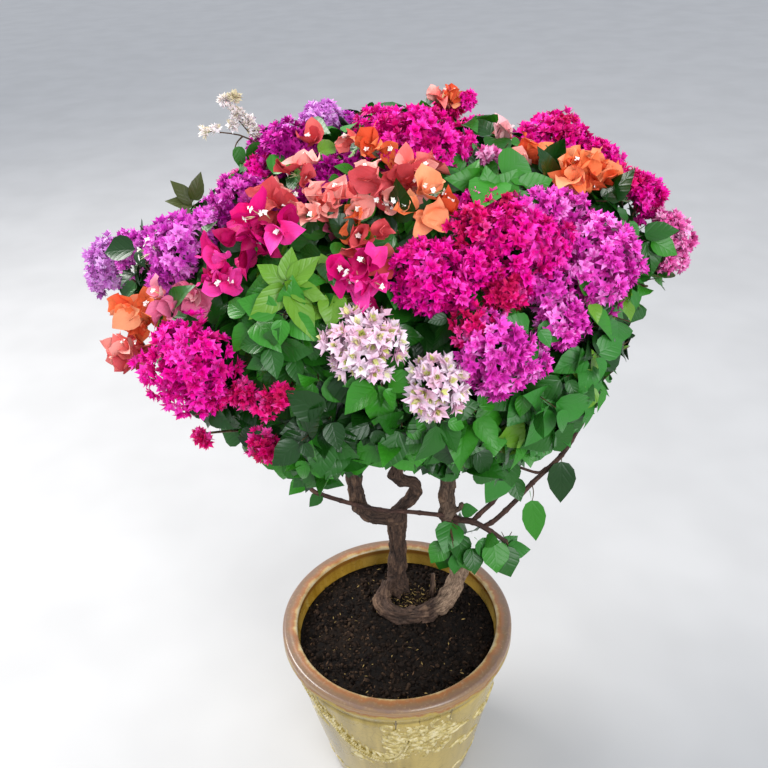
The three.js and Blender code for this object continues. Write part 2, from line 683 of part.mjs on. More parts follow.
// A blade joins its own twig and lies clear of every other twig, head and blade of its mass.
function growBlade(mass, twig, foot, direction, facing, length, width) {
  const solid = bladeOf(foot, direction, facing, length, width);
  const box = solid.boundingBox();
  const others = [...mass.twigs.filter((other) => other !== twig), ...mass.placed];
  if (meetsAny(others, solid, box) || !keep(mass, solid, solid)) return false;
  mass.placed.push({ solid, box });
  return true;
}

// Leaves stand round a twig by the golden angle, turned up and out, and hang a little. A leaf
// that finds no room is tried again further round and smaller.
function growLeaves(mass, twig) {
  const { leaves = LEAVES_ON_TWIG, size = 1 } = mass.plan.sprout ?? {};
  const facing = twig.outward.clone().add(new THREE.Vector3(0, 0, 0.5)).normalize();
  for (let leaf = 0; leaf < leaves; leaf += 1) {
    const share = 1 - (LEAFY_SHARE * leaf) / leaves;
    const tangent = twig.curve.getTangent(share);
    const across = tangent.clone().cross(facing).normalize();
    const around = across.clone().cross(tangent);
    const own = size * (0.85 + 0.3 * random());
    const first = 2 * Math.PI * random();
    for (let attempt = 0; attempt < LEAF_TRIES; attempt += 1) {
      const turn = first + (leaf + attempt) * GOLDEN_ANGLE;
      const direction = tangent.clone().multiplyScalar(0.45)
        .addScaledVector(across, Math.cos(turn))
        .addScaledVector(around, 0.7 * Math.sin(turn))
        .add(new THREE.Vector3(0, 0, -0.45));
      const scale = own * (1 - 0.12 * attempt);
      const foot = twig.curve.getPoint(share);
      if (growBlade(mass, twig, foot, direction, facing, LEAF_LENGTH * scale, LEAF_WIDTH * scale)) break;
    }
  }
}

// A cluster of single bracts opens outward round the tip of its twig.
function growBracts(mass, twig, lobe) {
  const across = new THREE.Vector3(twig.outward.y, -twig.outward.x, 0.2).cross(twig.outward).normalize();
  const around = twig.outward.clone().cross(across);
  const scale = lobe.radius / CLUSTER_RADIUS;
  for (let bract = 0; bract < BRACTS_IN_CLUSTER; bract += 1) {
    const turn = (bract * 2 * Math.PI) / BRACTS_IN_CLUSTER;
    const direction = twig.outward.clone().multiplyScalar(0.55)
      .addScaledVector(across, Math.cos(turn))
      .addScaledVector(around, Math.sin(turn));
    const foot = twig.curve.getPoint(1 - 0.12 * bract);
    growBlade(mass, twig, foot, direction, twig.outward, BRACT_LENGTH * scale, BRACT_WIDTH * scale);
  }
}

function growHead(mass, lobe) {
  const radius = Math.min(lobe.radius, clearanceIn(mass.plan.name, lobe.centre) - 2 * GAP);
  const solid = headOf(lobe.centre, radius);
  if (keep(mass, solid, solid)) mass.placed.push({ solid, box: solid.boundingBox() });
}

// A mass: a stem, twigs from it to each lobe and each tip, then blossom, then leaves.
function makeMass(plan) {
  const otherStems = plans.filter((other) => other !== plan).map((other) => stemOf(other, GAP));
  const inTheWay = wasm.Manifold.union([limbsGrown, ...otherStems]);
  const mass = { plan, inTheWay, parts: [stemOf(plan, 0).subtract(limbsGrown)], twigs: [], placed: [] };
  const lobeTwigs = lobesOf(plan.name)
    .map((lobe) => ({ lobe, twig: growTwig(mass, lobe.centre) }))
    .filter(({ twig }) => twig);
  const leafTwigs = tipsOf(plan).map((tip) => growTwig(mass, tip)).filter((twig) => twig);
  for (const { lobe } of lobeTwigs) {
    if (lobe.kind === 'double' || lobe.kind === 'sprig') growHead(mass, lobe);
  }
  for (const { lobe, twig } of lobeTwigs) {
    if (lobe.kind === 'single') growBracts(mass, twig, lobe);
  }
  for (const { lobe, twig } of lobeTwigs) {
    if (lobe.kind === 'leaf') growLeaves(mass, twig);
  }
  for (const twig of leafTwigs) growLeaves(mass, twig);
  const solid = wasm.Manifold.union(mass.parts);
  massesMade.push({ solid, box: solid.boundingBox() });
  return nodeOf('mass_' + plan.name, solid, { color: plan.colour, roughness: 0.6, metalness: 0 });
}

const group = new THREE.Group();
group.add(...makePot());
for (const [name, limb] of Object.entries(LIMBS)) group.add(makeLimb(name, limb));
for (const plan of plans.filter((each) => each.bough)) group.add(makeBough(plan));
for (const plan of plans) group.add(makeMass(plan));

export default group;
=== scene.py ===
import math

import bmesh
import bpy
import numpy as np
from mathutils import Matrix, Vector, noise
from mathutils.kdtree import KDTree


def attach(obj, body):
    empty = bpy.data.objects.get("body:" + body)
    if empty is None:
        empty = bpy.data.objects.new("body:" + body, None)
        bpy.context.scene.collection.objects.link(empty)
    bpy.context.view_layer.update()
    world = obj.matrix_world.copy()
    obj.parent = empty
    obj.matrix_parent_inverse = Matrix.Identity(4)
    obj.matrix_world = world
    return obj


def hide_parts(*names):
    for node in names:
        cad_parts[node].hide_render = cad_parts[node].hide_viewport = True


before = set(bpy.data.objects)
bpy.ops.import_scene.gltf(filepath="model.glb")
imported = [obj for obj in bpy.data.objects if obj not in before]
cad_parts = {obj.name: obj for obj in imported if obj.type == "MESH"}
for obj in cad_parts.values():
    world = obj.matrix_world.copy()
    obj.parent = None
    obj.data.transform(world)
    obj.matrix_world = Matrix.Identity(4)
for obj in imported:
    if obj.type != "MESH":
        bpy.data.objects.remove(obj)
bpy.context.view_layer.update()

# The pot. A thrown stoneware tub with a rolled rim and one scored line under it, dipped in a
# yellow ash glaze that has run in darker streaks. The rim was wiped with an iron wash, which
# fired lilac brown on the lip and rust orange where it is thin.
POT_HEIGHT = 0.350
RIM_FOOT = 0.322
RIM_RADIUS = 0.2165
FOOT_RADIUS = 0.143
SHOULDER_RADIUS = 0.205
WALL_BULGE = 0.003
WALL = 0.017
POT_FLOOR = 0.020
SOIL_LEVEL = 0.310
GROOVE = 0.2955  # height of the scored line
GROOVE_DEPTH = 0.0025
GROOVE_LIP, GROOVE_HALF = 0.0035, 0.0016  # half its width, at the wall and near its floor
LIP_WIDTH = 0.029
LIP_GLAZE_RADIUS, LIP_GLAZE_HEIGHT = 0.1885, 0.3430  # the lip's glaze lies outside and above these
RIM_BACK = 0.200  # the rim's outer glaze ends at this radius
INNER_LINE_FOOT, INNER_LINE_TOP = 0.320, 0.345
POT_STEPS = 144
UPWARD = (0.0, 0.0, 1.0)


def wall_at(height):
    """Radius of the pot's outside wall at a height."""
    share = height / RIM_FOOT
    straight = FOOT_RADIUS + (SHOULDER_RADIUS - FOOT_RADIUS) * share
    return straight + WALL_BULGE * math.sin(math.pi * share)


def colour(code, shade=1.0):
    """A colour from its six-figure code, made lighter or darker by a shade."""
    parts = [int(code[i : i + 2], 16) / 255 for i in (0, 2, 4)]
    linear = [p / 12.92 if p <= 0.04045 else ((p + 0.055) / 1.055) ** 2.4 for p in parts]
    return (*[min(1.0, p * shade) for p in linear], 1.0)


def new_material(name, **sockets):
    material = bpy.data.materials.new(name)
    material.use_nodes = True
    shader = material.node_tree.nodes["Principled BSDF"]
    for socket, value in sockets.items():
        shader.inputs[socket.replace("_", " ")].default_value = value
    return material


def add(material, kind, inputs=(), **settings):
    """A node with its settings, and its inputs as numbers, colours or other nodes' outputs."""
    node = material.node_tree.nodes.new(kind)
    for key, value in settings.items():
        setattr(node, key, value)
    for key, value in dict(inputs).items():
        if isinstance(value, bpy.types.NodeSocket):
            material.node_tree.links.new(value, node.inputs[key])
        else:
            node.inputs[key].default_value = value
    return node


def drive(material, socket, output):
    shader = material.node_tree.nodes["Principled BSDF"]
    material.node_tree.links.new(output, shader.inputs[socket])


def maths(material, operation, *values):
    return add(material, "ShaderNodeMath", enumerate(values), operation=operation).outputs[0]


def mix(material, share, first, second, blend="MIX"):
    """The second colour laid over the first by a share."""
    inputs = {0: share, 6: first, 7: second}
    return add(material, "ShaderNodeMix", inputs, data_type="RGBA", blend_type=blend).outputs[2]


def tint_of(value):
    """A ramp's colour from a colour, a colour's code or a grey."""
    if isinstance(value, str):
        return colour(value)
    return value if isinstance(value, tuple) else (value, value, value, 1.0)


def ramp(material, share, *stops):
    """Tints along a share: each stop is a place, and a colour, a colour's code or a grey."""
    node = add(material, "ShaderNodeValToRGB", {0: share})
    elements = node.color_ramp.elements
    stops = [(place, tint_of(value)) for place, value in stops]
    for element, (place, tint) in zip((elements[0], elements[1]), (stops[0], stops[-1])):
        element.position = place
        element.color = tint
    for place, tint in stops[1:-1]:
        elements.new(place).color = tint
    return node.outputs[0]


def speckle(material, vector, scale, detail=3.0, roughness=0.55, distortion=0.0):
    inputs = {"Scale": scale, "Detail": detail, "Roughness": roughness, "Distortion": distortion}
    return add(material, "ShaderNodeTexNoise", {"Vector": vector, **inputs}).outputs[0]


def bump(material, height, strength, distance, below=None):
    inputs = {"Strength": strength, "Distance": distance, "Height": height}
    if below is not None:
        inputs["Normal"] = below
    return add(material, "ShaderNodeBump", inputs).outputs[0]


def object_place(material):
    return add(material, "ShaderNodeTexCoord").outputs["Object"]


def round_the_pot(material, turns, rise):
    """A place rolled round the pot's axis, so that a pattern runs up and down its wall."""
    place = object_place(material)
    flat = add(material, "ShaderNodeVectorMath", {0: place, 1: (1, 1, 0)}, operation="MULTIPLY")
    way = add(material, "ShaderNodeVectorMath", {0: flat.outputs[0]}, operation="NORMALIZE")
    wide = add(material, "ShaderNodeVectorMath", {0: way.outputs[0], "Scale": turns}, operation="SCALE")
    tall = add(material, "ShaderNodeVectorMath", {0: place, 1: (0, 0, rise)}, operation="MULTIPLY")
    rolled = add(material, "ShaderNodeVectorMath", {0: wide.outputs[0], 1: tall.outputs[0]})
    return rolled.outputs[0]


def ash_glaze(name, thick, full, even, thin):
    glaze = new_material(name, Roughness=0.26, Coat_Weight=0.35, Coat_Roughness=0.10)
    place = object_place(glaze)
    axes = add(glaze, "ShaderNodeSeparateXYZ", {0: place}).outputs
    rolled = round_the_pot(glaze, turns=5.0, rise=3.0)
    runs = speckle(glaze, rolled, 1.0, detail=5.0, roughness=0.6, distortion=0.5)
    clouds = speckle(glaze, place, 8.0, detail=4.0)
    grains = speckle(glaze, place, 230.0, detail=2.0)
    cells = {"Vector": place, "Scale": 58.0, "Randomness": 1.0}
    edges = add(glaze, "ShaderNodeTexVoronoi", cells, feature="DISTANCE_TO_EDGE")
    body = ramp(glaze, runs, (0.28, thick), (0.42, full), (0.56, even), (0.72, thin))
    # Painted light: the glaze is painted paler towards the pot's right side, where more light falls on it.
    painted_light_side = add(glaze, "ShaderNodeMapRange", {0: axes[0], 1: -0.16, 2: 0.20}).outputs[0]
    cloudy = mix(glaze, ramp(glaze, clouds, (0.42, 0), (0.70, 0.5)), body, colour(thin, 1.1))
    sided = mix(glaze, painted_light_side, cloudy, mix(glaze, 0.45, cloudy, colour(thin, 1.25)))
    # Painted shade: a dark line along the scored line stands for the shade in its groove. Specks and
    # crackle are the glaze's own marks.
    off_line = maths(glaze, "ABSOLUTE", maths(glaze, "SUBTRACT", axes[2], GROOVE))
    groove_shade = ramp(glaze, off_line, (0.0008, 0.75), (0.0030, 0))
    specks = ramp(glaze, grains, (0.66, 0), (0.74, 0.4))
    crackled = ramp(glaze, edges.outputs["Distance"], (0.0, 0.35), (0.03, 0))
    marks_and_groove_shade = mix(glaze, 1.0, mix(glaze, 1.0, specks, groove_shade, "LIGHTEN"), crackled, "LIGHTEN")
    drive(glaze, "Base Color", mix(glaze, marks_and_groove_shade, sided, colour("4f3f18")))
    drive(glaze, "Roughness", ramp(glaze, clouds, (0.3, 0.20), (0.7, 0.36)))
    pooled = bump(glaze, runs, 0.3, 0.0015)
    drive(glaze, "Normal", bump(glaze, grains, 0.15, 0.0005, pooled))
    return glaze


def rim_glaze(name, *stops, from_radius=True):
    """The iron wash on the rim: bands of colour across the lip, or up the rim's side."""
    glaze = new_material(name, Roughness=0.30, Coat_Weight=0.3, Coat_Roughness=0.15)
    place = object_place(glaze)
    if from_radius:
        flat = add(glaze, "ShaderNodeVectorMath", {0: place, 1: (1, 1, 0)}, operation="MULTIPLY")
        length = add(glaze, "ShaderNodeVectorMath", {0: flat.outputs[0]}, operation="LENGTH")
        reach = length.outputs["Value"]
        low, high = RIM_RADIUS - LIP_WIDTH, RIM_RADIUS
    else:
        reach = add(glaze, "ShaderNodeSeparateXYZ", {0: place}).outputs[2]
        low, high = RIM_FOOT, POT_HEIGHT
    across = add(glaze, "ShaderNodeMapRange", {0: reach, 1: low, 2: high}).outputs[0]
    waver = speckle(glaze, round_the_pot(glaze, turns=6.0, rise=40.0), 1.0, detail=5.0, roughness=0.65)
    shifted = maths(glaze, "MULTIPLY_ADD", waver, 0.9, across)
    bands = ramp(glaze, maths(glaze, "SUBTRACT", shifted, 0.45), *stops)
    fine = speckle(glaze, place, 190.0, detail=3.0)
    worn = ramp(glaze, fine, (0.56, 0), (0.72, 0.5))
    drive(glaze, "Base Color", mix(glaze, worn, bands, colour("9c8466")))
    drive(glaze, "Normal", bump(glaze, waver, 0.25, 0.001))
    return glaze


def arc(centre, radius, start, end, count):
    """Points of a rounded corner of the pot's profile, by angles in degrees."""
    turns = np.radians(np.linspace(start, end, count))
    return [(centre[0] + radius * math.cos(t), centre[1] + radius * math.sin(t)) for t in turns]


def in_scene(name, data):
    """An object in the scene from its mesh, light or camera."""
    thing = bpy.data.objects.new(name, data)
    bpy.context.scene.collection.objects.link(thing)
    return thing


def piece_of(name, mesh, materials, nodes=(), smooth=True):
    """A finished piece, standing where its mesh is, with the CAD nodes that it stands for."""
    piece = in_scene(name, mesh)
    for material in materials:
        mesh.materials.append(material)
    if smooth:
        mesh.shade_smooth()
    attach(piece, "root")
    if nodes:
        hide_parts(*nodes)
    return piece


def mesh_from(form, name):
    mesh = bpy.data.meshes.new(name)
    form.to_mesh(mesh)
    form.free()
    return mesh


def spun(profile, steps):
    """A profile of radius and height turned full circle into a closed skin."""
    form = bmesh.new()
    corners = [form.verts.new((radius, 0, height)) for radius, height in profile]
    edges = [form.edges.new(pair) for pair in zip(corners, corners[1:])]
    bmesh.ops.spin(
        form, geom=corners + edges, cent=(0, 0, 0), axis=UPWARD, angle=2 * math.pi,
        steps=steps, use_merge=True,
    )
    bmesh.ops.remove_doubles(form, verts=form.verts, dist=1e-6)
    bmesh.ops.recalc_face_normals(form, faces=form.faces)
    return form


# The pot's outline, from the hollow under its foot up the wall, over the rim and down inside.
wall_heights = [h for h in np.linspace(0.006, RIM_FOOT, 24) if abs(h - GROOVE) > 0.006]
groove_line = [(GROOVE - GROOVE_HALF, 0.8), (GROOVE, 1.0), (GROOVE + GROOVE_HALF, 0.8)]
pot_profile = [(0.0, 0.004), (0.118, 0.004), (0.122, 0.0), (0.139, 0.0), (0.1425, 0.002)]
pot_profile += [(wall_at(h), h) for h in wall_heights if h < GROOVE]
pot_profile += [(wall_at(GROOVE - GROOVE_LIP), GROOVE - GROOVE_LIP)]
pot_profile += [(wall_at(GROOVE) - share * GROOVE_DEPTH, height) for height, share in groove_line]
pot_profile += [(wall_at(GROOVE + GROOVE_LIP), GROOVE + GROOVE_LIP)]
pot_profile += [(wall_at(h), h) for h in wall_heights if GROOVE < h < RIM_FOOT - 0.001]
pot_profile += arc((0.2065, RIM_FOOT + 0.0015), 0.0015, 180, 270, 3)
pot_profile += arc((0.2125, 0.3275), 0.004, -80, 0, 5)
pot_profile += [(0.2150, 0.3315), (0.2146, 0.3340), (0.2158, 0.3365), (0.2165, 0.3390)]
pot_profile += arc((0.2100, 0.3425), 0.0065, 10, 90, 7)
pot_profile += [(0.2050, 0.3487), (0.2010, 0.3492), (0.1980, 0.3496)]
pot_profile += arc((0.1945, 0.3430), 0.0065, 90, 180, 6)
pot_profile += [(wall_at(h) - WALL, h) for h in (0.330, 0.318, 0.300, 0.200, 0.100, POT_FLOOR)]
pot_profile += [(0.0, POT_FLOOR)]

pot_form = spun(pot_profile, POT_STEPS)
BODY, RIM_TOP, RIM_SIDE, INSIDE = range(4)
for face in pot_form.faces:
    centre = face.calc_center_median()
    reach = math.hypot(centre.x, centre.y)
    if centre.z < RIM_FOOT:
        face.material_index = BODY if reach > wall_at(centre.z) - 0.5 * WALL else INSIDE
    elif centre.z > LIP_GLAZE_HEIGHT and reach > LIP_GLAZE_RADIUS:
        face.material_index = RIM_TOP
    else:
        face.material_index = RIM_SIDE if reach > RIM_BACK else INSIDE

inner_glaze = ash_glaze("inner_glaze", "6e5212", "96701e", "ad8630", "bb9a4c")
inner_height = add(inner_glaze, "ShaderNodeSeparateXYZ", {0: object_place(inner_glaze)}).outputs[2]
inner_reach = {0: inner_height, 1: INNER_LINE_FOOT, 2: INNER_LINE_TOP}
inner_band = add(inner_glaze, "ShaderNodeMapRange", inner_reach).outputs[0]
inner_line = ramp(inner_glaze, inner_band, (0.0, 0), (0.45, 0.15), (0.72, 0.95), (1.0, 0.7))
inner_shader = inner_glaze.node_tree.nodes["Principled BSDF"]
inner_body = inner_shader.inputs["Base Color"].links[0].from_socket
drive(inner_glaze, "Base Color", mix(inner_glaze, inner_line, inner_body, colour("7a4a1c")))

rim_top_glaze = rim_glaze(
    "lip_iron_wash",
    (0.00, "c0b08a"), (0.14, "b0905c"), (0.25, "98643a"), (0.42, "8a5c3a"),
    (0.60, "7c6046"), (0.85, "785e4e"), (1.00, "846648"),
)
rim_side_glaze = rim_glaze(
    "rim_iron_wash",
    (0.00, "8a742a"), (0.24, "a48c40"), (0.36, "8c5a2e"), (0.48, "9c7e56"),
    (0.60, "92663e"), (0.80, "98784e"), (1.00, "866448"),
    from_radius=False,
)
piece_of(
    "pot_body", mesh_from(pot_form, "pot_body"),
    [
        ash_glaze("yellow_ash_glaze", "665418", "8a742a", "a48c40", "b49e58"),
        rim_top_glaze, rim_side_glaze, inner_glaze,
    ],
    ["pot"],
)

# The ornament on the pot's wall: a scaly serpent among clouds, drawn in thick pale slip on the
# leather-hard clay before glazing, once on the front and once on the back. The ash glaze has
# drained off its ridges and left them cream.
ORNAMENT_TURNS = (0.0, 180.0)
ORNAMENT_REACH = 0.19  # the wall's radius at the serpent's middle
SERPENT = [  # azimuth in degrees from the front, height and half width in millimetres
    (-72, 262, 3), (-62, 268, 5), (-53, 266, 8), (-45, 254, 10.5), (-39, 233, 12), (-34, 209, 13),
    (-27, 187, 13), (-19, 171, 12.5), (-11, 166, 12), (-4, 176, 11), (0, 196, 10), (2, 216, 9.5),
    (4, 234, 9),
]
SERPENT_SINK = 0.66  # how much of its half width the serpent's middle is sunk in the wall
SERPENT_POOL_AND_SHADE_SINK = 0.86
SCALE_ROWS, SCALES_ACROSS = 74, (-0.62, 0.0, 0.62)
SCALE_RADIUS, SCALE_LARGER = 0.0026, 0.0006
MANE = [
    [(1, 236, 3.4), (-3, 246, 3), (-6, 256, 2.6), (-5, 264, 2), (-2, 262, 1.6)],
    [(2, 230, 3.2), (-5, 234, 3), (-9, 242, 2.6), (-10, 250, 2), (-8, 252, 1.6)],
    [(2, 222, 3), (-5, 220, 2.8), (-9, 226, 2.4), (-11, 232, 1.8)],
    [(2, 212, 3), (-5, 206, 2.6), (-9, 210, 2.2), (-11, 216, 1.6)],
    [(4, 238, 4.2), (8, 240, 4), (11, 235, 3.2), (12, 229, 2.4)],
    [(4, 230, 4), (8, 227, 3.4), (11, 222, 2.6), (9, 218, 2)],
    [(3, 244, 2.6), (6, 252, 2.2), (10, 258, 1.8), (12, 264, 1.2)],
    [(5, 222, 2.6), (8, 214, 2.4), (7, 206, 2.2), (4, 202, 1.8), (3, 207, 1.4)],
    [(7, 210, 2.2), (12, 206, 2), (14, 198, 1.8), (11, 193, 1.4)],
]
LEGS = [
    [(-48, 250, 4.5), (-55, 234, 4), (-52, 218, 3.4), (-57, 206, 2.6)],
    [(-52, 218, 2.4), (-47, 208, 1.8), (-47, 200, 1.2)],
    [(-52, 218, 2.4), (-60, 214, 1.8), (-63, 206, 1.2)],
    [(-27, 182, 4.5), (-31, 164, 4), (-25, 152, 3.4), (-27, 140, 2.6)],
    [(-25, 152, 2.4), (-20, 145, 1.8), (-18, 137, 1.2)],
    [(-25, 152, 2.4), (-32, 146, 1.8), (-35, 138, 1.2)],
    [(-72, 262, 3), (-77, 270, 2.4), (-76, 278, 1.8), (-73, 278, 1.4)],
    [(-72, 262, 3), (-76, 255, 2.2), (-81, 257, 1.6)],
]
SPINES = 15  # short fins along the serpent's back
SPINE_LENGTH = 13.0
SPINE_BACK, SPINE_THICK = (0.0, 4.0, 11.0), (3.0, 2.2, 0.9)
CLOUDS = [
    [(12, 228, 3.2), (16, 236, 3.4), (20, 240, 3.4), (24, 236, 3), (22, 229, 2.4), (19, 231, 2)],
    [(18, 246, 3), (23, 252, 3.2), (28, 250, 3.2), (30, 243, 2.8), (27, 238, 2.2), (25, 243, 1.8)],
    [(20, 228, 2.8), (26, 228, 2.8), (32, 234, 2.6), (36, 232, 2)],
    [(14, 248, 2.6), (17, 256, 2.4), (22, 259, 2.2), (25, 257, 1.8)],
    [(26, 222, 2.4), (31, 220, 2.4), (36, 224, 2.2), (41, 222, 1.6)],
    [(46, 208, 3), (50, 216, 3.2), (55, 218, 3.2), (58, 212, 2.8), (55, 207, 2.2), (52, 210, 1.8)],
    [(52, 198, 2.6), (58, 198, 2.6), (64, 204, 2.4), (69, 202, 1.8)],
    [(60, 222, 2.8), (65, 228, 3), (70, 226, 2.8), (71, 219, 2.4), (68, 217, 1.8)],
    [(30, 160, 2.8), (34, 168, 3), (39, 170, 3), (42, 164, 2.6), (39, 159, 2.2), (36, 162, 1.8)],
    [(38, 150, 2.4), (44, 150, 2.4), (50, 156, 2.2), (55, 154, 1.6)],
]
CURLS_FROM, CURLS_TO = (-10.0, 172.0), (27.0, 288.0)  # cloud scrolls packed round the head
CURL_ROWS, CURLS_IN_ROW = 5, 4
CURL_RADIUS, CURL_TURNS, CURL_WIDTH = 16.0, 0.72, 3.0
BOSSES = 64  # low round bosses of slip between the scrolls
BOSS_STEP = 0.618  # how far round the patch of scrolls each boss is from the last
BOSS_RADIUS, BOSS_UNEVEN, BOSS_SINK = 0.0042, 0.0022, 0.60
WALL_SCALE = 3.4  # millimetres of wall in a degree round the pot, at the ornament's height
WAVES_AT = 46.0  # height in millimetres of the band of waves above the foot
WAVES = 30
CREST = [(0, 0, 2.2), (4, 9, 2.4), (8, 13, 2.2), (11, 9, 1.8), (9, 5, 1.4)]
STROKE_WIDER, STROKE_SINK = 1.45, 0.35
POOL_AND_SHADE_WIDER, POOL_AND_SHADE_SINK = 1.45, 0.84  # the glaze pooled darker beside each stroke, painted darker as the shade in the crease
GLAZE_RUNS = [  # where the glaze ran thick and dark from the rim
    [(-48, 318, 2.6), (-48.3, 296, 3), (-48, 270, 2.6), (-48.2, 252, 1.2)],
    [(-3, 318, 3.4), (-2.8, 300, 3.8), (-3.1, 276, 3), (-3, 258, 1.2)],
    [(26, 318, 2.8), (26.3, 298, 3.2), (26, 280, 2.4), (26.1, 268, 1.2)],
    [(62, 318, 2.6), (61.6, 292, 2.8), (62, 262, 1.2)],
]


def rods(name, lines, roundness=2):
    """Tapering round rods as one mesh: each line is a row of points and the radius at each."""
    curve = bpy.data.curves.new(name, "CURVE")
    curve.dimensions = "3D"
    curve.bevel_depth = 1.0
    curve.bevel_resolution = roundness
    curve.use_fill_caps = True
    for points, radii in lines:
        spline = curve.splines.new("POLY")
        spline.points.add(len(points) - 1)
        spline.points.foreach_set("co", np.column_stack([points, np.ones(len(points))]).ravel())
        spline.points.foreach_set("radius", np.asarray(radii, float))
    holder = bpy.data.objects.new(name, curve)
    mesh = bpy.data.meshes.new_from_object(holder)
    bpy.data.objects.remove(holder)
    bpy.data.curves.remove(curve)
    mesh.name = name
    return mesh


def smooth_line(points, shares):
    """Points of a smooth line through some points, at shares of the way along it."""
    points = np.asarray(points, float)
    padded = np.vstack([2 * points[0] - points[1], points, 2 * points[-1] - points[-2]])
    place = np.asarray(shares, float) * (len(points) - 1)
    first = np.minimum(place.astype(int), len(points) - 2)
    t = (place - first)[:, None]
    a, b, c, d = (padded[first + k] for k in range(4))
    return (
        (2 * t**3 - 3 * t**2 + 1) * b + (t**3 - 2 * t**2 + t) * (c - a) / 2
        + (3 * t**2 - 2 * t**3) * c + (t**3 - t**2) * (d - b) / 2
    )


def on_the_wall(azimuth, height, proud):
    """A place on the pot's wall, by degrees from the front, height and how far it stands out."""
    turn = np.radians(azimuth)
    reach = np.array([wall_at(h) for h in height]) + proud
    return np.column_stack([reach * np.sin(turn), -reach * np.cos(turn), height])


def slip_line(row, turn, sink, wider=1.0):
    shares = np.linspace(0, 1, 7 * len(row))
    azimuth, height, half = smooth_line(row, shares).T
    half = np.maximum(half, 0.6) / 1000 * wider
    return on_the_wall(azimuth + turn, height / 1000, -sink * half), half


def spine(share):
    """A fin that leans back from the serpent's upper side."""
    here, ahead = smooth_line(SERPENT, [share, min(1.0, share + 0.02)])
    azimuth, height, half = here
    run = np.array([(ahead[0] - azimuth) * WALL_SCALE, ahead[1] - height])
    run /= np.linalg.norm(run)
    side = np.array([-run[1], run[0]])
    outs = (0.7 * half, half + 0.5 * SPINE_LENGTH, half + SPINE_LENGTH)
    row = []
    for out, back, thick in zip(outs, SPINE_BACK, SPINE_THICK):
        step = out * side - back * run
        row.append((azimuth + step[0] / WALL_SCALE, height + step[1], thick))
    return row


def among_scrolls(across, up):
    """Azimuth and height in the patch of scrolls, by shares of the way across and up it."""
    (left, low), (right, high) = CURLS_FROM, CURLS_TO
    return left + (right - left) * across, low + (high - low) * up


def curl(number):
    """A scroll of cloud: a stroke that winds in on itself, each turned another way."""
    row, place = divmod(number, CURLS_IN_ROW)
    across = (place + 0.25 + 0.5 * (row % 2)) / CURLS_IN_ROW
    azimuth, height = among_scrolls(across, (row + 0.5) / CURL_ROWS)
    hand = 1 if number % 3 else -1
    points = []
    for share in np.linspace(0, 1, 6):
        turn = 2.4 * number + hand * 2 * math.pi * CURL_TURNS * share
        reach = CURL_RADIUS * (1 - 0.62 * share) * (1 + 0.25 * math.sin(3.1 * number))
        points.append((
            azimuth + reach * math.cos(turn) / WALL_SCALE, height + reach * math.sin(turn),
            CURL_WIDTH * (1 - 0.45 * share),
        ))
    return points


def lay_scales(form, turn):
    """Rows of small domes along the serpent, the middle one of each row a step behind."""
    serpent = smooth_line(SERPENT, np.linspace(0, 1, SCALE_ROWS))
    for row, (azimuth, height, half) in enumerate(serpent):
        ahead = serpent[min(row + 1, SCALE_ROWS - 1)] - serpent[max(row - 1, 0)]
        run = np.array([math.radians(ahead[0]) * 1000 * ORNAMENT_REACH, ahead[1]])
        run /= np.linalg.norm(run)
        for side in SCALES_ACROSS:
            larger = 0.5 * SCALE_LARGER * ((row + (side == 0)) % 2)
            spread = side * half / 1000
            proud = half / 1000 * (math.sqrt(1 - side**2) - SERPENT_SINK) - 0.0002
            at_azimuth = azimuth - math.degrees(spread * run[1] / ORNAMENT_REACH) + turn
            at_height = height / 1000 + spread * run[0]
            place = on_the_wall(np.array([at_azimuth]), np.array([at_height]), proud)[0]
            bmesh.ops.create_icosphere(
                form, subdivisions=1, radius=SCALE_RADIUS + larger, matrix=Matrix.Translation(place)
            )


def lay_bosses(form, turn):
    for number in range(BOSSES):
        azimuth, height = among_scrolls((number * BOSS_STEP) % 1, (number + 0.5) / BOSSES)
        radius = BOSS_RADIUS + BOSS_UNEVEN * math.sin(2.7 * number)
        at = np.array([azimuth + turn]), np.array([height / 1000])
        place = on_the_wall(*at, -BOSS_SINK * radius)[0]
        bmesh.ops.create_icosphere(
            form, subdivisions=2, radius=radius, matrix=Matrix.Translation(place)
        )


ornament = bmesh.new()
slip_lines, pool_and_shade_lines = [], []
curls = [curl(number) for number in range(CURL_ROWS * CURLS_IN_ROW)]
spines = [spine(share) for share in np.linspace(0.14, 0.86, SPINES)]
crests = [
    [(360 * wave / WAVES + a, WAVES_AT + h, r) for a, h, r in CREST] for wave in range(WAVES)
]
for turn in ORNAMENT_TURNS:
    slip_lines.append(slip_line(SERPENT, turn, SERPENT_SINK))
    pool_and_shade_lines.append(slip_line(SERPENT, turn, SERPENT_POOL_AND_SHADE_SINK, POOL_AND_SHADE_WIDER))
    for row in MANE + LEGS + CLOUDS + curls + spines:
        slip_lines.append(slip_line(row, turn, STROKE_SINK, STROKE_WIDER))
        pool_and_shade_lines.append(slip_line(row, turn, POOL_AND_SHADE_SINK, STROKE_WIDER * POOL_AND_SHADE_WIDER))
    pool_and_shade_lines += [slip_line(row, turn, POOL_AND_SHADE_SINK) for row in GLAZE_RUNS]
for row in crests:
    slip_lines.append(slip_line(row, 0, STROKE_SINK))
    pool_and_shade_lines.append(slip_line(row, 0, POOL_AND_SHADE_SINK, POOL_AND_SHADE_WIDER))
slip_mesh = rods("slip", slip_lines)
ornament.from_mesh(slip_mesh)
for turn in ORNAMENT_TURNS:
    lay_scales(ornament, turn)
    lay_bosses(ornament, turn)
bpy.data.meshes.remove(slip_mesh)


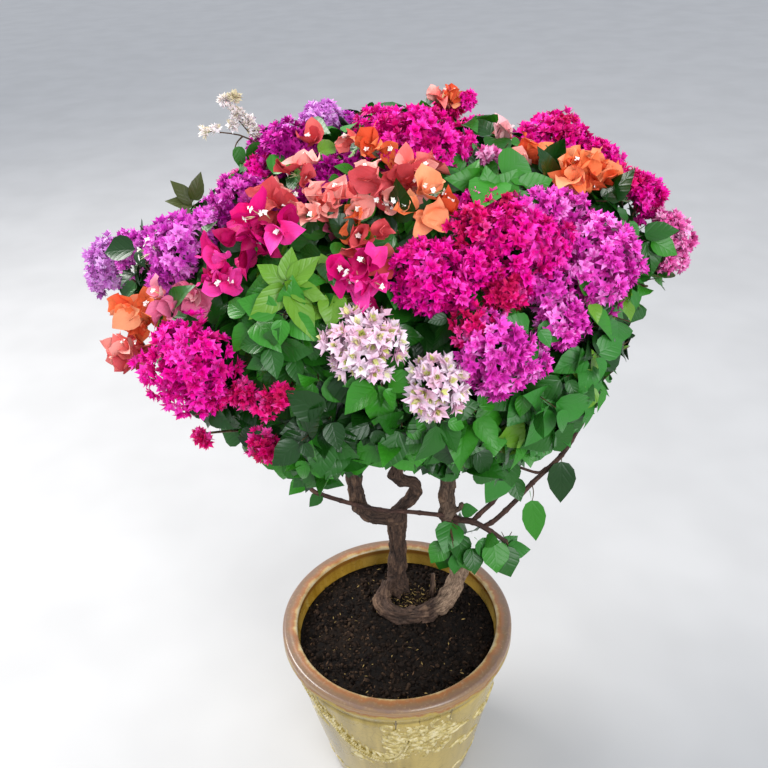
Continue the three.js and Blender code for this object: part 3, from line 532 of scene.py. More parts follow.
def mottled(name, scale, *stops, detail=3.0, **sockets):
    """A material with one fine pattern of tints. The pattern comes with it, for its bumps."""
    material = new_material(name, **sockets)
    fine = speckle(material, object_place(material), scale, detail=detail)
    drive(material, "Base Color", ramp(material, fine, *stops))
    return material, fine


slip, slip_fine = mottled(
    "cream_slip", 110.0, (0.35, "94803c"), (0.50, "baa868"), (0.66, "d2c498"),
    detail=4.0, Roughness=0.3, Coat_Weight=0.3, Coat_Roughness=0.15,
)
drive(slip, "Normal", bump(slip, slip_fine, 0.5, 0.001))
piece_of("pot_ornament", mesh_from(ornament, "pot_ornament"), [slip])

# Dark glaze: along the runs from the rim it is the glaze's own; beside each stroke it is pooled glaze and
# painted shade in the crease.
pooled, _ = mottled(
    "pooled_glaze_and_crease_shade", 60.0, (0.35, "4c3d16"), (0.55, "6a5726"), (0.70, "7d6a34"),
    Roughness=0.2, Coat_Weight=0.4, Coat_Roughness=0.1,
)
pool_and_shade_mesh = rods("pot_pooled_glaze_and_crease_shade", pool_and_shade_lines, roundness=1)
piece_of("pot_pooled_glaze_and_crease_shade", pool_and_shade_mesh, [pooled])

# A hairline crack from the firing, on the front. It wanders down from the rim, finer towards its
# end, and is dark with old dirt.
CRACK_TOP, CRACK_FOOT, CRACK_STEPS = 0.3225, 0.205, 40
CRACK_AZIMUTH, CRACK_SLANT, CRACK_WANDER = 9.1, 0.5, 0.35  # degrees, the slant for each 100 mm
crack_heights = np.linspace(CRACK_TOP, CRACK_FOOT, CRACK_STEPS)
crack_wander = np.array([noise.noise(Vector((0, 0, h * 90))) for h in crack_heights])
crack_azimuth = CRACK_AZIMUTH + CRACK_SLANT * (CRACK_TOP - crack_heights) / 0.1
crack_azimuth = crack_azimuth + CRACK_WANDER * crack_wander
crack_line = on_the_wall(crack_azimuth, crack_heights, -0.0002)
crack_radii = np.linspace(0.00055, 0.0002, CRACK_STEPS)
crack_mesh = rods("pot_crack", [(crack_line, crack_radii)], roundness=1)
dirt, _ = mottled("crack_dirt", 300.0, (0.3, "2c1c10"), (0.7, "5a3a1c"), Roughness=0.8)
piece_of("pot_crack", crack_mesh, [dirt])

# The soil: dark crumbly potting earth, heaped a little round the root and lighter where it has
# dried at the left, with loose crumbs, dry husks and bits of yellowed leaf on it.
SOIL_RINGS = 64
SOIL_STEPS = 150
HEAP_HEIGHT, HEAP_MIDDLE, HEAP_SPREAD = 0.007, (0.03, 0.06), (0.09, 0.08)
UNEVEN_SOIL = [  # lumps, clods and grains: height, how many to a metre and a layer of the noise
    (0.0052, 22, 3.1), (0.0070, 70, 7.7), (0.0030, 190, 1.3),
]
CRUMBS = 3600
CRUMB_LEAST, CRUMB_RANGE = 0.0014, 0.0048
HUSKS = 420
HUSK_LEAST, HUSK_MOST = 0.0015, 0.0055
HOLLOW, HOLLOW_SPREAD = (0.035, 0.070), (0.030, 0.020)  # husks have gathered inside the root's loop
IN_HOLLOW = 0.55  # the share of them that lies there
SEED = 2741
soil_reach = wall_at(SOIL_LEVEL) - WALL - 0.0003
soil_foot = wall_at(POT_FLOOR) - WALL - 0.0003
chance = np.random.default_rng(SEED)


def soil_height(x, y):
    """How high the soil stands at a place: lumps, clods and a low heap round the root."""
    off = [(at - middle) / spread for at, middle, spread in zip((x, y), HEAP_MIDDLE, HEAP_SPREAD)]
    heap = HEAP_HEIGHT * math.exp(-(off[0] ** 2) - off[1] ** 2)
    uneven = sum(
        tall * noise.noise(Vector((x * often, y * often, layer))) for tall, often, layer in UNEVEN_SOIL
    )
    edge = min(1.0, (soil_reach - math.hypot(x, y)) / 0.02)
    return SOIL_LEVEL - 0.001 + heap + uneven * (0.4 + 0.6 * edge)


def heights_at(x, y):
    return np.array([soil_height(*place) for place in zip(x, y)])


def scattered(count, reach):
    """Random places, even over the soil out to a reach."""
    turn = chance.uniform(0, 2 * math.pi, count)
    out = reach * np.sqrt(chance.uniform(0, 1, count))
    return out * np.cos(turn), out * np.sin(turn)


soil_profile = [(0.0, SOIL_LEVEL)]
soil_profile += [(soil_reach * ring / SOIL_RINGS, SOIL_LEVEL) for ring in range(1, SOIL_RINGS + 1)]
soil_profile += [(soil_foot, POT_FLOOR + 0.0003), (0.0, POT_FLOOR + 0.0003)]
soil_form = spun(soil_profile, SOIL_STEPS)
for corner in soil_form.verts:
    x, y, z = corner.co
    if z > SOIL_LEVEL - 0.001 and math.hypot(x, y) < soil_reach - 1e-4:
        corner.co.z = soil_height(x, y)


def earth(name, dark, middle, light):
    soil = new_material(name, Roughness=0.92, Specular_IOR_Level=0.15)
    place = object_place(soil)
    patches = speckle(soil, place, 14.0, detail=3.0)
    crumbs = speckle(soil, place, 130.0, detail=5.0, roughness=0.7)
    fine = ramp(soil, crumbs, (0.32, dark), (0.52, middle), (0.72, light))
    dry = ramp(soil, patches, (0.48, 0), (0.66, 0.45))
    drive(soil, "Base Color", mix(soil, dry, fine, colour(light)))
    drive(soil, "Roughness", ramp(soil, crumbs, (0.3, 0.75), (0.7, 0.98)))
    drive(soil, "Normal", bump(soil, crumbs, 0.9, 0.003))
    return soil


piece_of(
    "soil_bed", mesh_from(soil_form, "soil_bed"),
    [earth("potting_earth", "060404", "120d0a", "271d15")], ["soil"],
)


def joined(name, corners, faces, uvs=None, looks=None):
    """One mesh from many copies of a small shape: an array of copies by corners by places."""
    copies, per_copy = corners.shape[:2]
    faces = np.asarray(faces)
    loops = (faces[None] + (np.arange(copies) * per_copy)[:, None, None]).reshape(-1)
    mesh = bpy.data.meshes.new(name)
    mesh.vertices.add(copies * per_copy)
    mesh.vertices.foreach_set("co", corners.astype(np.float32).ravel())
    mesh.loops.add(len(loops))
    mesh.loops.foreach_set("vertex_index", loops.astype(np.int32))
    mesh.polygons.add(copies * len(faces))
    mesh.polygons.foreach_set("loop_start", np.arange(0, len(loops), 3, dtype=np.int32))
    if looks is not None:
        mesh.polygons.foreach_set("material_index", np.repeat(looks, len(faces)).astype(np.int32))
    if uvs is not None:
        layer = mesh.uv_layers.new(name="blade")
        layer.data.foreach_set("uv", np.tile(np.asarray(uvs)[faces.ravel()], (copies, 1)).ravel())
    mesh.update(calc_edges=True)
    return mesh


def unit(vectors):
    return vectors / np.maximum(np.linalg.norm(vectors, axis=-1, keepdims=True), 1e-9)


def random_turns(count):
    """Random turning matrices, even over all directions."""
    q = unit(chance.normal(size=(count, 4)))
    w, x, y, z = q.T
    return np.stack(
        [
            1 - 2 * (y * y + z * z), 2 * (x * y - w * z), 2 * (x * z + w * y),
            2 * (x * y + w * z), 1 - 2 * (x * x + z * z), 2 * (y * z - w * x),
            2 * (x * z - w * y), 2 * (y * z + w * x), 1 - 2 * (x * x + y * y),
        ],
        axis=-1,
    ).reshape(-1, 3, 3)


def crumb_shape():
    form = bmesh.new()
    bmesh.ops.create_icosphere(form, subdivisions=1, radius=1.0)
    corners = np.array([v.co for v in form.verts])
    faces = np.array([[v.index for v in f.verts] for f in form.faces])
    form.free()
    return corners, faces


crumb_corners, crumb_faces = crumb_shape()
crumb_x, crumb_y = scattered(CRUMBS, soil_reach - 0.004)
crumb_size = CRUMB_LEAST + CRUMB_RANGE * chance.uniform(0, 1, CRUMBS) ** 2.8
crumb_z = heights_at(crumb_x, crumb_y) + 0.35 * crumb_size
uneven = crumb_corners[None] * chance.uniform(0.4, 1.3, (CRUMBS, len(crumb_corners), 1))
stretched = uneven * chance.uniform(0.45, 1.25, (CRUMBS, 1, 3)) * crumb_size[:, None, None]
crumbs = np.einsum("nij,nkj->nki", random_turns(CRUMBS), stretched)
crumbs += np.column_stack([crumb_x, crumb_y, crumb_z])[:, None]
dry_side = (chance.uniform(0, 1, CRUMBS) < 0.16 + 0.20 * (crumb_x < -0.05)).astype(int)
crumb_tones = [
    earth("dark_crumbs", "080504", "1d1510", "392a20"),
    earth("dry_crumbs", "1a120d", "36271d", "544130"),
]
crumb_mesh = joined("soil_crumbs", crumbs, crumb_faces, looks=dry_side)
piece_of("soil_crumbs", crumb_mesh, crumb_tones, smooth=False)

husk_corners = np.array([[-1, 0, 0], [0, -0.22, 0.1], [1, 0, 0], [0, 0.22, -0.06]])
husk_x, husk_y = scattered(HUSKS, soil_reach - 0.01)
in_hollow = chance.uniform(0, 1, HUSKS) < IN_HOLLOW
husk_x = np.where(in_hollow, HOLLOW[0] + HOLLOW_SPREAD[0] * chance.normal(size=HUSKS), husk_x)
husk_y = np.where(in_hollow, HOLLOW[1] + HOLLOW_SPREAD[1] * chance.normal(size=HUSKS), husk_y)
husk_z = heights_at(husk_x, husk_y) + 0.0018
husk_way = chance.uniform(0, 2 * math.pi, HUSKS)
husk_size = chance.uniform(HUSK_LEAST, HUSK_MOST, HUSKS)
husk_along = np.column_stack([np.cos(husk_way), np.sin(husk_way), chance.normal(0, 0.15, HUSKS)])
husk_side = np.column_stack([-np.sin(husk_way), np.cos(husk_way), chance.normal(0, 0.3, HUSKS)])
length_share, width_share, rise_share = (husk_corners[None, :, k : k + 1] for k in range(3))
husks = length_share * husk_along[:, None] + width_share * husk_side[:, None]
husks = husks * husk_size[:, None, None]
husks = husks + rise_share * (husk_size[:, None] * [[0, 0, 1]])[:, None]
husks += np.column_stack([husk_x, husk_y, husk_z])[:, None]
husk_tones = []
for husk_name, husk_code in (("straw_husk", "a4884c"), ("brown_husk", "5c4026")):
    dull, bright = colour(husk_code, 0.6), colour(husk_code, 1.3)
    husk_tones.append(mottled(husk_name, 200.0, (0.3, dull), (0.7, bright), Roughness=0.8)[0])
husk_looks = chance.integers(0, 2, HUSKS)
husk_mesh = joined("soil_husks", husks, [(0, 1, 2), (0, 2, 3)], looks=husk_looks)
piece_of("soil_husks", husk_mesh, husk_tones)

# The old wood: a root that lies in a loop on the soil, two trunks that rise from its ends, and
# their arms, one of them knotted on itself. The bark is rough and furrowed along the grain, dark
# brown on the trunks, and rubbed grey and tan on the root. Painted light makes it paler on the
# root's top and the right trunk's knee, and a little paler all along the right.
OLD_WOOD = {
    "trunk_centre": (
        [[4, 104, 300], [4, 104, 335], [7, 107, 414], [10, 108, 508]],
        [30, 21, 17.5, 18],
    ),
    "root_ring": (
        [[-16, 92, 352], [-27, 62, 326], [-8, 34, 319], [28, 24, 319], [62, 31, 321]],
        [10, 16, 18, 19, 19],
    ),
    "trunk_right": (
        [
            [62, 31, 321], [96, 56, 326], [121, 84, 348], [130, 98, 385], [120, 101, 430], [106, 100, 520],
            [107, 96, 640], [122, 84, 760], [142, 66, 880], [150, 52, 950],
        ],
        [19, 20, 19, 18, 17, 16, 15, 13, 10, 6],
    ),
    "root_upright": ([[73, 82, 305], [75, 92, 330], [76, 99, 358]], [8, 7, 5]),
    "arm_left_low": (
        [[10, 108, 500], [-18, 105, 502], [-44, 104, 512], [-61, 104, 530]],
        [16, 15.5, 15, 15],
    ),
    "arm_left_high": (
        [
            [-61, 104, 530], [-64, 104, 566], [-67, 102, 600], [-78, 94, 700], [-98, 76, 820],
            [-112, 58, 930],
        ],
        [15, 15, 14.5, 13, 10, 6],
    ),
    "arm_twisted": (
        [
            [10, 108, 505], [20, 105, 528], [37, 104, 548], [47, 104, 567], [41, 104, 584], [22, 103, 590],
            [11, 103, 602], [13, 102, 636], [10, 92, 740], [4, 74, 850], [0, 58, 950],
        ],
        [15, 13, 12.5, 12.5, 12, 12, 12, 11.5, 11, 9, 6],
    ),
}
TOES = [(-150, 46), (-35, 30), (100, 34)]  # azimuth and reach of the centre trunk's root toes
TOE_FOOT = (4, 104)
TOE_LINE = [(0.0, 342.0), (0.5, 325.0), (1.0, 306.0), (1.25, 296.0)]  # share of its reach, height
TOE_RADII = [15, 11.5, 8, 5]
STUBS = [  # branches sawn off long ago and healed over
    ([[14, 103, 596], [-4, 102, 606]], [8, 7.4]),
    ([[106, 100, 515], [126, 88, 529], [131, 88, 543]], [5.5, 5.5, 5.2]),
]
KNOTS = [  # swellings, as a place and a radius
    ([47, 101, 567], 14), ([20, 101, 592], 14), ([8, 103, 604], 13), ([10, 104, 506], 19),
    ([-61, 102, 531], 16), ([104, 98, 512], 18), ([129, 96, 388], 19), ([-14, 38, 320], 19),
    ([62, 30, 320], 21), ([84, 44, 320], 20), ([8, 28, 317], 20), ([-24, 74, 330], 16),
    ([44, 27, 320], 20), ([106, 98, 600], 16), ([-66, 102, 598], 15.5), ([4, 104, 330], 23),
]
BARK_VOXEL = 0.0021
FURROW_DEPTH = 0.0030
LUMP_DEPTH = 0.0034
FURROW_GRAIN, PLATE_GRAIN, LUMP_GRAIN = (150, 32), (260, 120), (55, 38)  # across and along, per metre
FULL_RELIEF = 0.012  # limbs thinner than this radius have less relief
ROOT_TOP, ROOT_FADE, ROOT_GNARL = 0.365, 0.04, 0.9  # the root is rougher, below this height
PALE_TOP, PALE_FOOT = 0.36, 0.318  # heights between which the root is rubbed and painted paler as lit
KNEE_SIDE, KNEE_TOP = 0.07, 0.44  # the right trunk's knee lies to the right of and below these


def radii_along(radii, shares):
    return np.interp(shares, np.linspace(0, 1, len(radii)), radii)


def limb_line(points, radii, spacing=4.0):
    """A limb's middle and radius at even steps, in metres."""
    rough = np.linalg.norm(np.diff(np.asarray(points, float), axis=0), axis=1).sum()
    shares = np.linspace(0, 1, max(4, int(rough / spacing)))
    return smooth_line(points, shares) / 1000, radii_along(radii, shares) / 1000


old_lines = [limb_line(points, radii) for points, radii in OLD_WOOD.values()]
old_lines += [limb_line(points, radii) for points, radii in STUBS]
for azimuth, reach in TOES:
    away = np.array([math.cos(math.radians(azimuth)), math.sin(math.radians(azimuth))])
    toe = [[*(np.array(TOE_FOOT) + share * reach * away), height] for share, height in TOE_LINE]
    old_lines.append(limb_line(toe, TOE_RADII))


def along_a_line(line):
    """How far along it each point of a line lies, and a side and a cross side at each."""
    steps = np.linalg.norm(np.diff(line, axis=0), axis=1)
    run = np.concatenate([[0.0], np.cumsum(steps)])
    tangent = unit(np.gradient(line, axis=0))
    side = np.zeros_like(line)
    last = np.array([0.31, 0.87, 0.38])
    for i, direction in enumerate(tangent):
        last = last - direction * (last @ direction)
        last = last / np.linalg.norm(last)
        side[i] = last
    return run, side, np.cross(tangent, side)


def corner_places(mesh):
    places = np.empty(len(mesh.vertices) * 3, np.float32)
    mesh.vertices.foreach_get("co", places)
    return places.reshape(-1, 3)


def fade(values, over):
    """A share that grows from 0 to 1 over a distance."""
    return np.clip(values / over, 0, 1)


def grain_noise(place, grain, shift=(0, 0)):
    (x, y, z), (across, along) = place, grain
    return noise.noise(Vector((x * across + shift[0], y * across + shift[1], z * along)))


def give_relief(mesh, lines, furrow, lump):
    """Furrows along the grain and lumps on a mesh of limbs. Its grain and its height are kept
    as attributes for the bark's colours."""
    grain = [along_a_line(line) for line, _ in lines]
    middles = np.vstack([line for line, _ in lines])
    radii = np.concatenate([r for _, r in lines])
    runs = np.concatenate([run + 0.37 * i for i, (run, _, _) in enumerate(grain)])
    sides = np.vstack([side for _, side, _ in grain])
    crosses = np.vstack([cross for _, _, cross in grain])
    tree = KDTree(len(middles))
    for i, middle in enumerate(middles):
        tree.insert(middle, i)
    tree.balance()
    places = corner_places(mesh).astype(float)
    count = len(places)
    normals = np.empty(count * 3, np.float32)
    mesh.vertex_normals.foreach_get("vector", normals)
    normals = normals.reshape(-1, 3)
    nearest = np.array([tree.find(place)[1] for place in places])
    out = places - middles[nearest]
    turn = np.arctan2((out * crosses[nearest]).sum(1), (out * sides[nearest]).sum(1))
    wide = radii[nearest]
    around = np.column_stack([np.cos(turn) * wide, np.sin(turn) * wide, runs[nearest]])
    heights = np.empty(count)
    for i, place in enumerate(around):
        split = 1 - 2 * abs(grain_noise(place, FURROW_GRAIN))
        plates = grain_noise(place, PLATE_GRAIN, (5, 0))
        swell = grain_noise(place, LUMP_GRAIN, (0, 9))
        heights[i] = furrow * (0.5 * plates - max(0.0, split) ** 3) + lump * swell
    thin = np.minimum(1.0, wide / FULL_RELIEF)
    gnarled = 1 + ROOT_GNARL * fade(ROOT_TOP - places[:, 2], ROOT_FADE)
    moved = places + normals * (heights * thin * gnarled)[:, None]
    mesh.vertices.foreach_set("co", moved.astype(np.float32).ravel())
    mesh.attributes.new("grain", "FLOAT_VECTOR", "POINT").data.foreach_set("vector", around.ravel())
    mesh.attributes.new("ridge", "FLOAT", "POINT").data.foreach_set(
        "value", np.clip(0.5 + heights / (2 * (furrow + lump)), 0, 1)
    )
    mesh.update()


def rubbed_and_lit_pale(mesh):
    """How far the bark is paler at each corner, from wear and painted light: on the root's top and its
    right knee, and, with painted light alone, a little all along the right.
    """
    x, y, z = corner_places(mesh).T
    low = 0.5 * fade(PALE_TOP - z, 0.04) * fade(z - PALE_FOOT, 0.012)
    knee = fade(x - KNEE_SIDE, 0.03) * fade(KNEE_TOP - z, 0.06)
    # Painted light alone: the whole right side is a little paler, as if lit.
    right = 0.35 * fade(x - KNEE_SIDE, 0.02)
    pale = np.clip(0.55 * low + 0.45 * knee + right, 0, 1)
    mesh.attributes.new("rubbed_and_lit", "FLOAT", "POINT").data.foreach_set("value", pale)


def bark(name, dark, middle, light, pale):
    wood = new_material(name, Roughness=0.88)
    grain = add(wood, "ShaderNodeAttribute", attribute_name="grain").outputs["Vector"]
    ridge = add(wood, "ShaderNodeAttribute", attribute_name="ridge").outputs["Fac"]
    rubbed_and_lit = add(wood, "ShaderNodeAttribute", attribute_name="rubbed_and_lit").outputs["Fac"]
    long_grain = add(wood, "ShaderNodeMapping", {"Vector": grain, "Scale": (1, 1, 0.28)}).outputs[0]
    fibre = speckle(wood, long_grain, 380.0, detail=5.0, roughness=0.7)
    patches = speckle(wood, grain, 45.0, detail=3.0)
    by_height = ramp(wood, ridge, (0.30, dark), (0.50, middle), (0.66, light))
    by_fibre = ramp(wood, fibre, (0.34, dark), (0.55, middle), (0.75, light))
    streaked = mix(wood, 0.55, by_height, by_fibre)
    # Painted light and wear: the bark turns paler where it is rubbed and where the light falls.
    worn = ramp(wood, maths(wood, "MULTIPLY", rubbed_and_lit, patches), (0.10, 0), (0.50, 0.9))
    pale_fibre = ramp(wood, fibre, (0.32, middle), (0.60, pale))
    drive(wood, "Base Color", mix(wood, worn, streaked, pale_fibre))
    drive(wood, "Roughness", ramp(wood, fibre, (0.3, 0.95), (0.7, 0.75)))
    drive(wood, "Normal", bump(wood, fibre, 0.8, 0.0012))
    return wood


old_form = bmesh.new()
old_mesh = rods("old_wood", old_lines, roundness=4)
old_form.from_mesh(old_mesh)
for middle, radius in KNOTS:
    bmesh.ops.create_icosphere(
        old_form, subdivisions=3, radius=radius / 1000, matrix=Matrix.Translation(Vector(middle) / 1000)
    )
bpy.data.meshes.remove(old_mesh)
solid_wood = in_scene("old_wood", mesh_from(old_form, "old_wood"))
skin = solid_wood.modifiers.new("one skin", "REMESH")
skin.mode = "VOXEL"
skin.voxel_size = BARK_VOXEL
soften = solid_wood.modifiers.new("soft joins", "SMOOTH")
soften.factor = 0.5
soften.iterations = 4
bpy.context.view_layer.update()
skinned = bpy.data.meshes.new_from_object(
    solid_wood.evaluated_get(bpy.context.evaluated_depsgraph_get())
)
bpy.data.objects.remove(solid_wood)
skinned.name = "old_wood"
give_relief(skinned, old_lines, FURROW_DEPTH, LUMP_DEPTH)
rubbed_and_lit_pale(skinned)
old_bark = bark("old_bark", "150d09", "4a3427", "8c6d54", "b0947a")
piece_of("old_wood", skinned, [old_bark], list(OLD_WOOD))

# The young stems: a crossing shoot and long thin canes that left the trunks low down, smooth and
# dark brown, with a slight swelling at every bud.
YOUNG_STEMS = {
    "stem_crossing": (
        [[106, 88, 512], [78, 84, 522], [30, 84, 531], [-12, 83, 537], [-64, 84, 552], [-113, 80, 576]],
        [4.5, 4.5, 4.2, 4.2, 4.2, 4.2],
    ),
    "stem_rising": (
        [[-113, 80, 576], [-144, 70, 604], [-157, 58, 660], [-156, 36, 730]],
        [4.2, 4.1, 4, 3.8],
    ),
    "stem_sprout": (
        [[112, 96, 500], [132, 72, 515], [152, 58, 520], [182, 50, 503], [210, 50, 478]],
        [7, 6.5, 6, 5, 4],
    ),
    "stem_inner": (
        [[146, 62, 517], [166, 68, 536], [187, 70, 559], [208, 70, 600], [206, 70, 650], [194, 66, 712]],
        [4.8, 4.8, 4.6, 4.4, 4.2, 4],
    ),
    "stem_outer": (
        [[168, 54, 512], [190, 50, 532], [224, 50, 573], [252, 50, 612], [300, 48, 672], [322, 40, 730]],
        [4.8, 4.8, 4.6, 4.4, 4.2, 4],
    ),
    "stem_link": (
        [[206, 70, 646], [235, 60, 639], [262, 52, 634], [276, 52, 644]],
        [2.6, 2.6, 2.6, 2.6],
    ),
}
BUD_SPACING = 0.038
BUD_SWELLING, BUD_WIDTH = 0.22, 0.09  # shares of the radius and of the spacing
YOUNG_FURROW, YOUNG_LUMP = 0.0006, 0.0007


def with_buds(line, radii):
    """A cane's radii with a slight swelling at every bud."""
    run = along_a_line(line)[0]
    return radii * (1 + BUD_SWELLING * np.exp(-(((run / BUD_SPACING) % 1 - 0.5) / BUD_WIDTH) ** 2))


young_lines = []
for points, radii in YOUNG_STEMS.values():
    line, thick = limb_line(points, radii, spacing=3.5)
    young_lines.append((line, with_buds(line, thick)))
young_mesh = rods("young_stems", young_lines, roundness=3)
give_relief(young_mesh, young_lines, YOUNG_FURROW, YOUNG_LUMP)
young_bark = bark("young_bark", "1c110d", "482e24", "7a5747", "8b7160")
piece_of("young_stems", young_mesh, [young_bark], list(YOUNG_STEMS))

# The crown's frame: boughs leave the arms and stems carry their lines on. Each leads into one
# mass of the crown, which keeps the space nearest to its own lobes of leaf or blossom. A lobe is
# its kind, azimuth from the front, reach from the crown's upright axis, height, radius and look.
CROWN_MIDDLE = np.array([0.0, 50.0, 1010.0])
BOUGH_SHARE, BOUGH_LIFT = 0.5, 0.16
BOUGH_FOOT, BOUGH_FOOT_SHARE, BOUGH_TIP = 8.5, 0.78, 5.0
BOUGH_FURROW, BOUGH_LUMP = 0.0009, 0.0012
HUB_SHARE, HUB_ROOM = 0.6, 16.0
HUB_STEP = 0.12  # a hub with too little room moves by this share towards its mass's largest lobe
STEM_HEADING = 0.4  # how far a stem holds the bough's heading, as a share of its length
ENTRY_FIRST, ENTRY_LAST, ENTRY_STEP = 0.12, 0.9, 0.06  # where along its stem a mass's space begins
TWIG_FOOT = 3.0
MASSES = {
    "left_low": ("arm_left_high", 0.5, [
        ("double", -38, 382, 1054, 67, "hot"), ("leaf", -44, 335, 985, 42, ""),
        ("leaf", -28, 300, 1060, 20, ""),
    ]),
    "left_far": ("arm_left_high", 0.62, [
        ("double", -84, 396, 1085, 44, "lilac"), ("double", -74, 356, 1118, 34, "orchid"),
        ("single", -59, 402, 1036, 36, "salmon"), ("single", -57, 378, 1092, 26, "orange"),
        ("leaf", -80, 352, 1010, 50, ""),
    ]),
    "left_mid": ("arm_left_high", 0.74, [
        ("double", -54, 316, 1164, 50, "orchid"), ("single", -46, 358, 1124, 20, "rose"),
        ("single", -35, 326, 1146, 26, "cerise"), ("leaf", -66, 270, 1190, 30, "bronze"),
    ]),
    "left_top": ("arm_left_high", 0.86, [
        ("double", -49, 232, 1214, 42, "purple"), ("single", -31, 269, 1189, 34, "cerise"),
        ("double", -100, 190, 1225, 36, "orchid"),
    ]),
    "front_left": ("arm_left_high", 0.8, [
        ("leaf", -21, 330, 1112, 48, "lime"), ("leaf", -23, 335, 1040, 30, ""),
        ("single", -6, 300, 1160, 30, "cerise"),
    ]),
    "top_left": ("arm_twisted", 0.8, [
        ("double", -58, 136, 1240, 50, "deep"), ("double", -128, 98, 1252, 42, "lilac"),
        ("double", -24, 150, 1218, 38, "deep"),
    ]),
    "front_top": ("arm_twisted", 0.87, [
        ("single", -31, 196, 1232, 28, "salmon"), ("single", -17, 236, 1208, 28, "salmon"),
        ("single", 1, 205, 1230, 30, "salmon"), ("single", 13, 232, 1212, 28, "orange"),
        ("single", -3, 268, 1184, 28, "salmon"), ("leaf", -4, 170, 1150, 50, ""),
    ]),
    "top_centre": ("arm_twisted", 0.94, [
        ("double", 28, 105, 1236, 72, "hot"), ("leaf", 36, 232, 1206, 42, "large"),
        ("double", 54, 180, 1232, 20, "pink"),
    ]),
    "top_tip": ("trunk_right", 0.95, [
        ("double", 138, 159, 1262, 40, "red"), ("single", 120, 226, 1222, 22, "salmon"),
        ("leaf", 120, 185, 1190, 40, ""),
    ]),
    "front_low": ("arm_twisted", 0.73, [
        ("double", -4, 350, 1098, 50, "blush"), ("double", 8, 374, 1050, 44, "blush"),
        ("leaf", 2, 340, 985, 40, ""),
    ]),
    "right_front": ("trunk_right", 0.85, [
        ("double", 10, 300, 1154, 50, "hot"), ("double", 31, 296, 1163, 66, "hot"),
        ("double", 46, 270, 1188, 44, "fuchsia"), ("double", 50, 345, 1132, 64, "fuchsia"),
        ("leaf", 64, 350, 1080, 34, ""),
    ]),
    "right_low": ("trunk_right", 0.76, [
        ("double", 20, 366, 1074, 54, "fuchsia"), ("double", 36, 360, 1084, 38, "fuchsia"),
        ("leaf", 28, 345, 1015, 30, ""),
    ]),
    "right_top": ("trunk_right", 0.93, [
        ("double", 106, 279, 1204, 60, "hot"), ("double", 97, 325, 1172, 50, "hot"),
        ("single", 65, 268, 1198, 34, "orange"), ("single", 80, 300, 1176, 30, "orange"),
    ]),
    "right_far": ("trunk_right", 0.8, [
        ("double", 91, 390, 1142, 42, "hot"), ("double", 84, 420, 1088, 42, "pink"),
        ("leaf", 76, 392, 1035, 36, ""),
    ]),
    "back_left": ("arm_left_high", 0.93, [
        ("double", -114, 252, 1238, 34, "orchid"), ("double", -112, 330, 1150, 50, "orchid"),
        ("double", -138, 250, 1196, 50, "purple"), ("double", -136, 352, 1100, 46, "pink"),
        ("leaf", -124, 330, 1060, 50, ""),
    ]),
    "back_centre": ("arm_twisted", 0.98, [
        ("double", 178, 200, 1218, 54, "hot"), ("double", -160, 290, 1162, 50, "deep"),
        ("double", 160, 300, 1160, 52, "fuchsia"), ("single", 180, 330, 1110, 34, "salmon"),
        ("leaf", 178, 340, 1060, 55, ""),
    ]),
    "back_right": ("trunk_right", 0.98, [
        ("double", 128, 330, 1130, 56, "fuchsia"), ("double", 142, 250, 1190, 46, "hot"),
        ("double", 112, 380, 1090, 44, "pink"), ("leaf", 130, 370, 1050, 50, ""),
    ]),
    "back_low_left": ("arm_left_high", 0.68, [
        ("leaf", -112, 385, 985, 60, ""), ("double", -140, 375, 1000, 44, "hot"),
        ("leaf", -160, 345, 950, 60, ""),
    ]),
    "back_low_right": ("trunk_right", 0.7, [
        ("leaf", 108, 390, 985, 60, ""), ("double", 136, 378, 1000, 44, "fuchsia"),
        ("leaf", 160, 345, 950, 60, ""),
    ]),
    "skirt_left": ("stem_rising", None, [
        ("sprig", -23, 378, 1016, 24, "red"), ("sprig", -26, 370, 955, 28, "red"),
        ("sprig", -44, 366, 926, 17, "red"), ("leaf", -14, 342, 965, 45, ""),
        ("leaf", -11, 312, 888, 52, ""), ("leaf", -34, 300, 905, 50, ""),
    ]),
    "skirt_centre": ("stem_inner", None, [
        ("leaf", 12, 330, 930, 55, ""), ("leaf", 10, 290, 870, 55, ""), ("leaf", 30, 270, 860, 45, ""),
    ]),
    "skirt_right": ("stem_outer", None, [
        ("leaf", 42, 380, 1010, 30, "lime"), ("leaf", 36, 362, 930, 45, "pale"),
        ("leaf", 58, 372, 960, 45, ""),
    ]),
    "sprout_cluster": ("trunk_right", 0.54, [("leaf", 80, 112, 486, 62, "")]),
    "sprout_tip": ("stem_sprout", None, [("leaf", 90, 218, 462, 44, "")]),
}
SPROUTS = {"sprout_cluster": 6, "sprout_tip": 4}  # the sprouts' own number of twigs


def place_of(azimuth, reach, height):
    turn = math.radians(azimuth)
    return np.array(
        [CROWN_MIDDLE[0] + reach * math.sin(turn), CROWN_MIDDLE[1] - reach * math.cos(turn), height]
    )


lobes = [(mass, *row) for mass, (_, _, rows) in MASSES.items() for row in rows]
lobe_mass = np.array([lobe[0] for lobe in lobes])
lobe_kind = np.array([lobe[1] for lobe in lobes])
lobe_middle = np.array([place_of(*lobe[2:5]) for lobe in lobes])
lobe_radius = np.array([float(lobe[5]) for lobe in lobes])
lobe_look = [lobe[6] for lobe in lobes]


def powers(points):
    """How far each point lies from each lobe's ball, as a squared measure."""
    apart = np.linalg.norm(points[:, None] - lobe_middle[None], axis=2)
    return apart**2 - lobe_radius**2


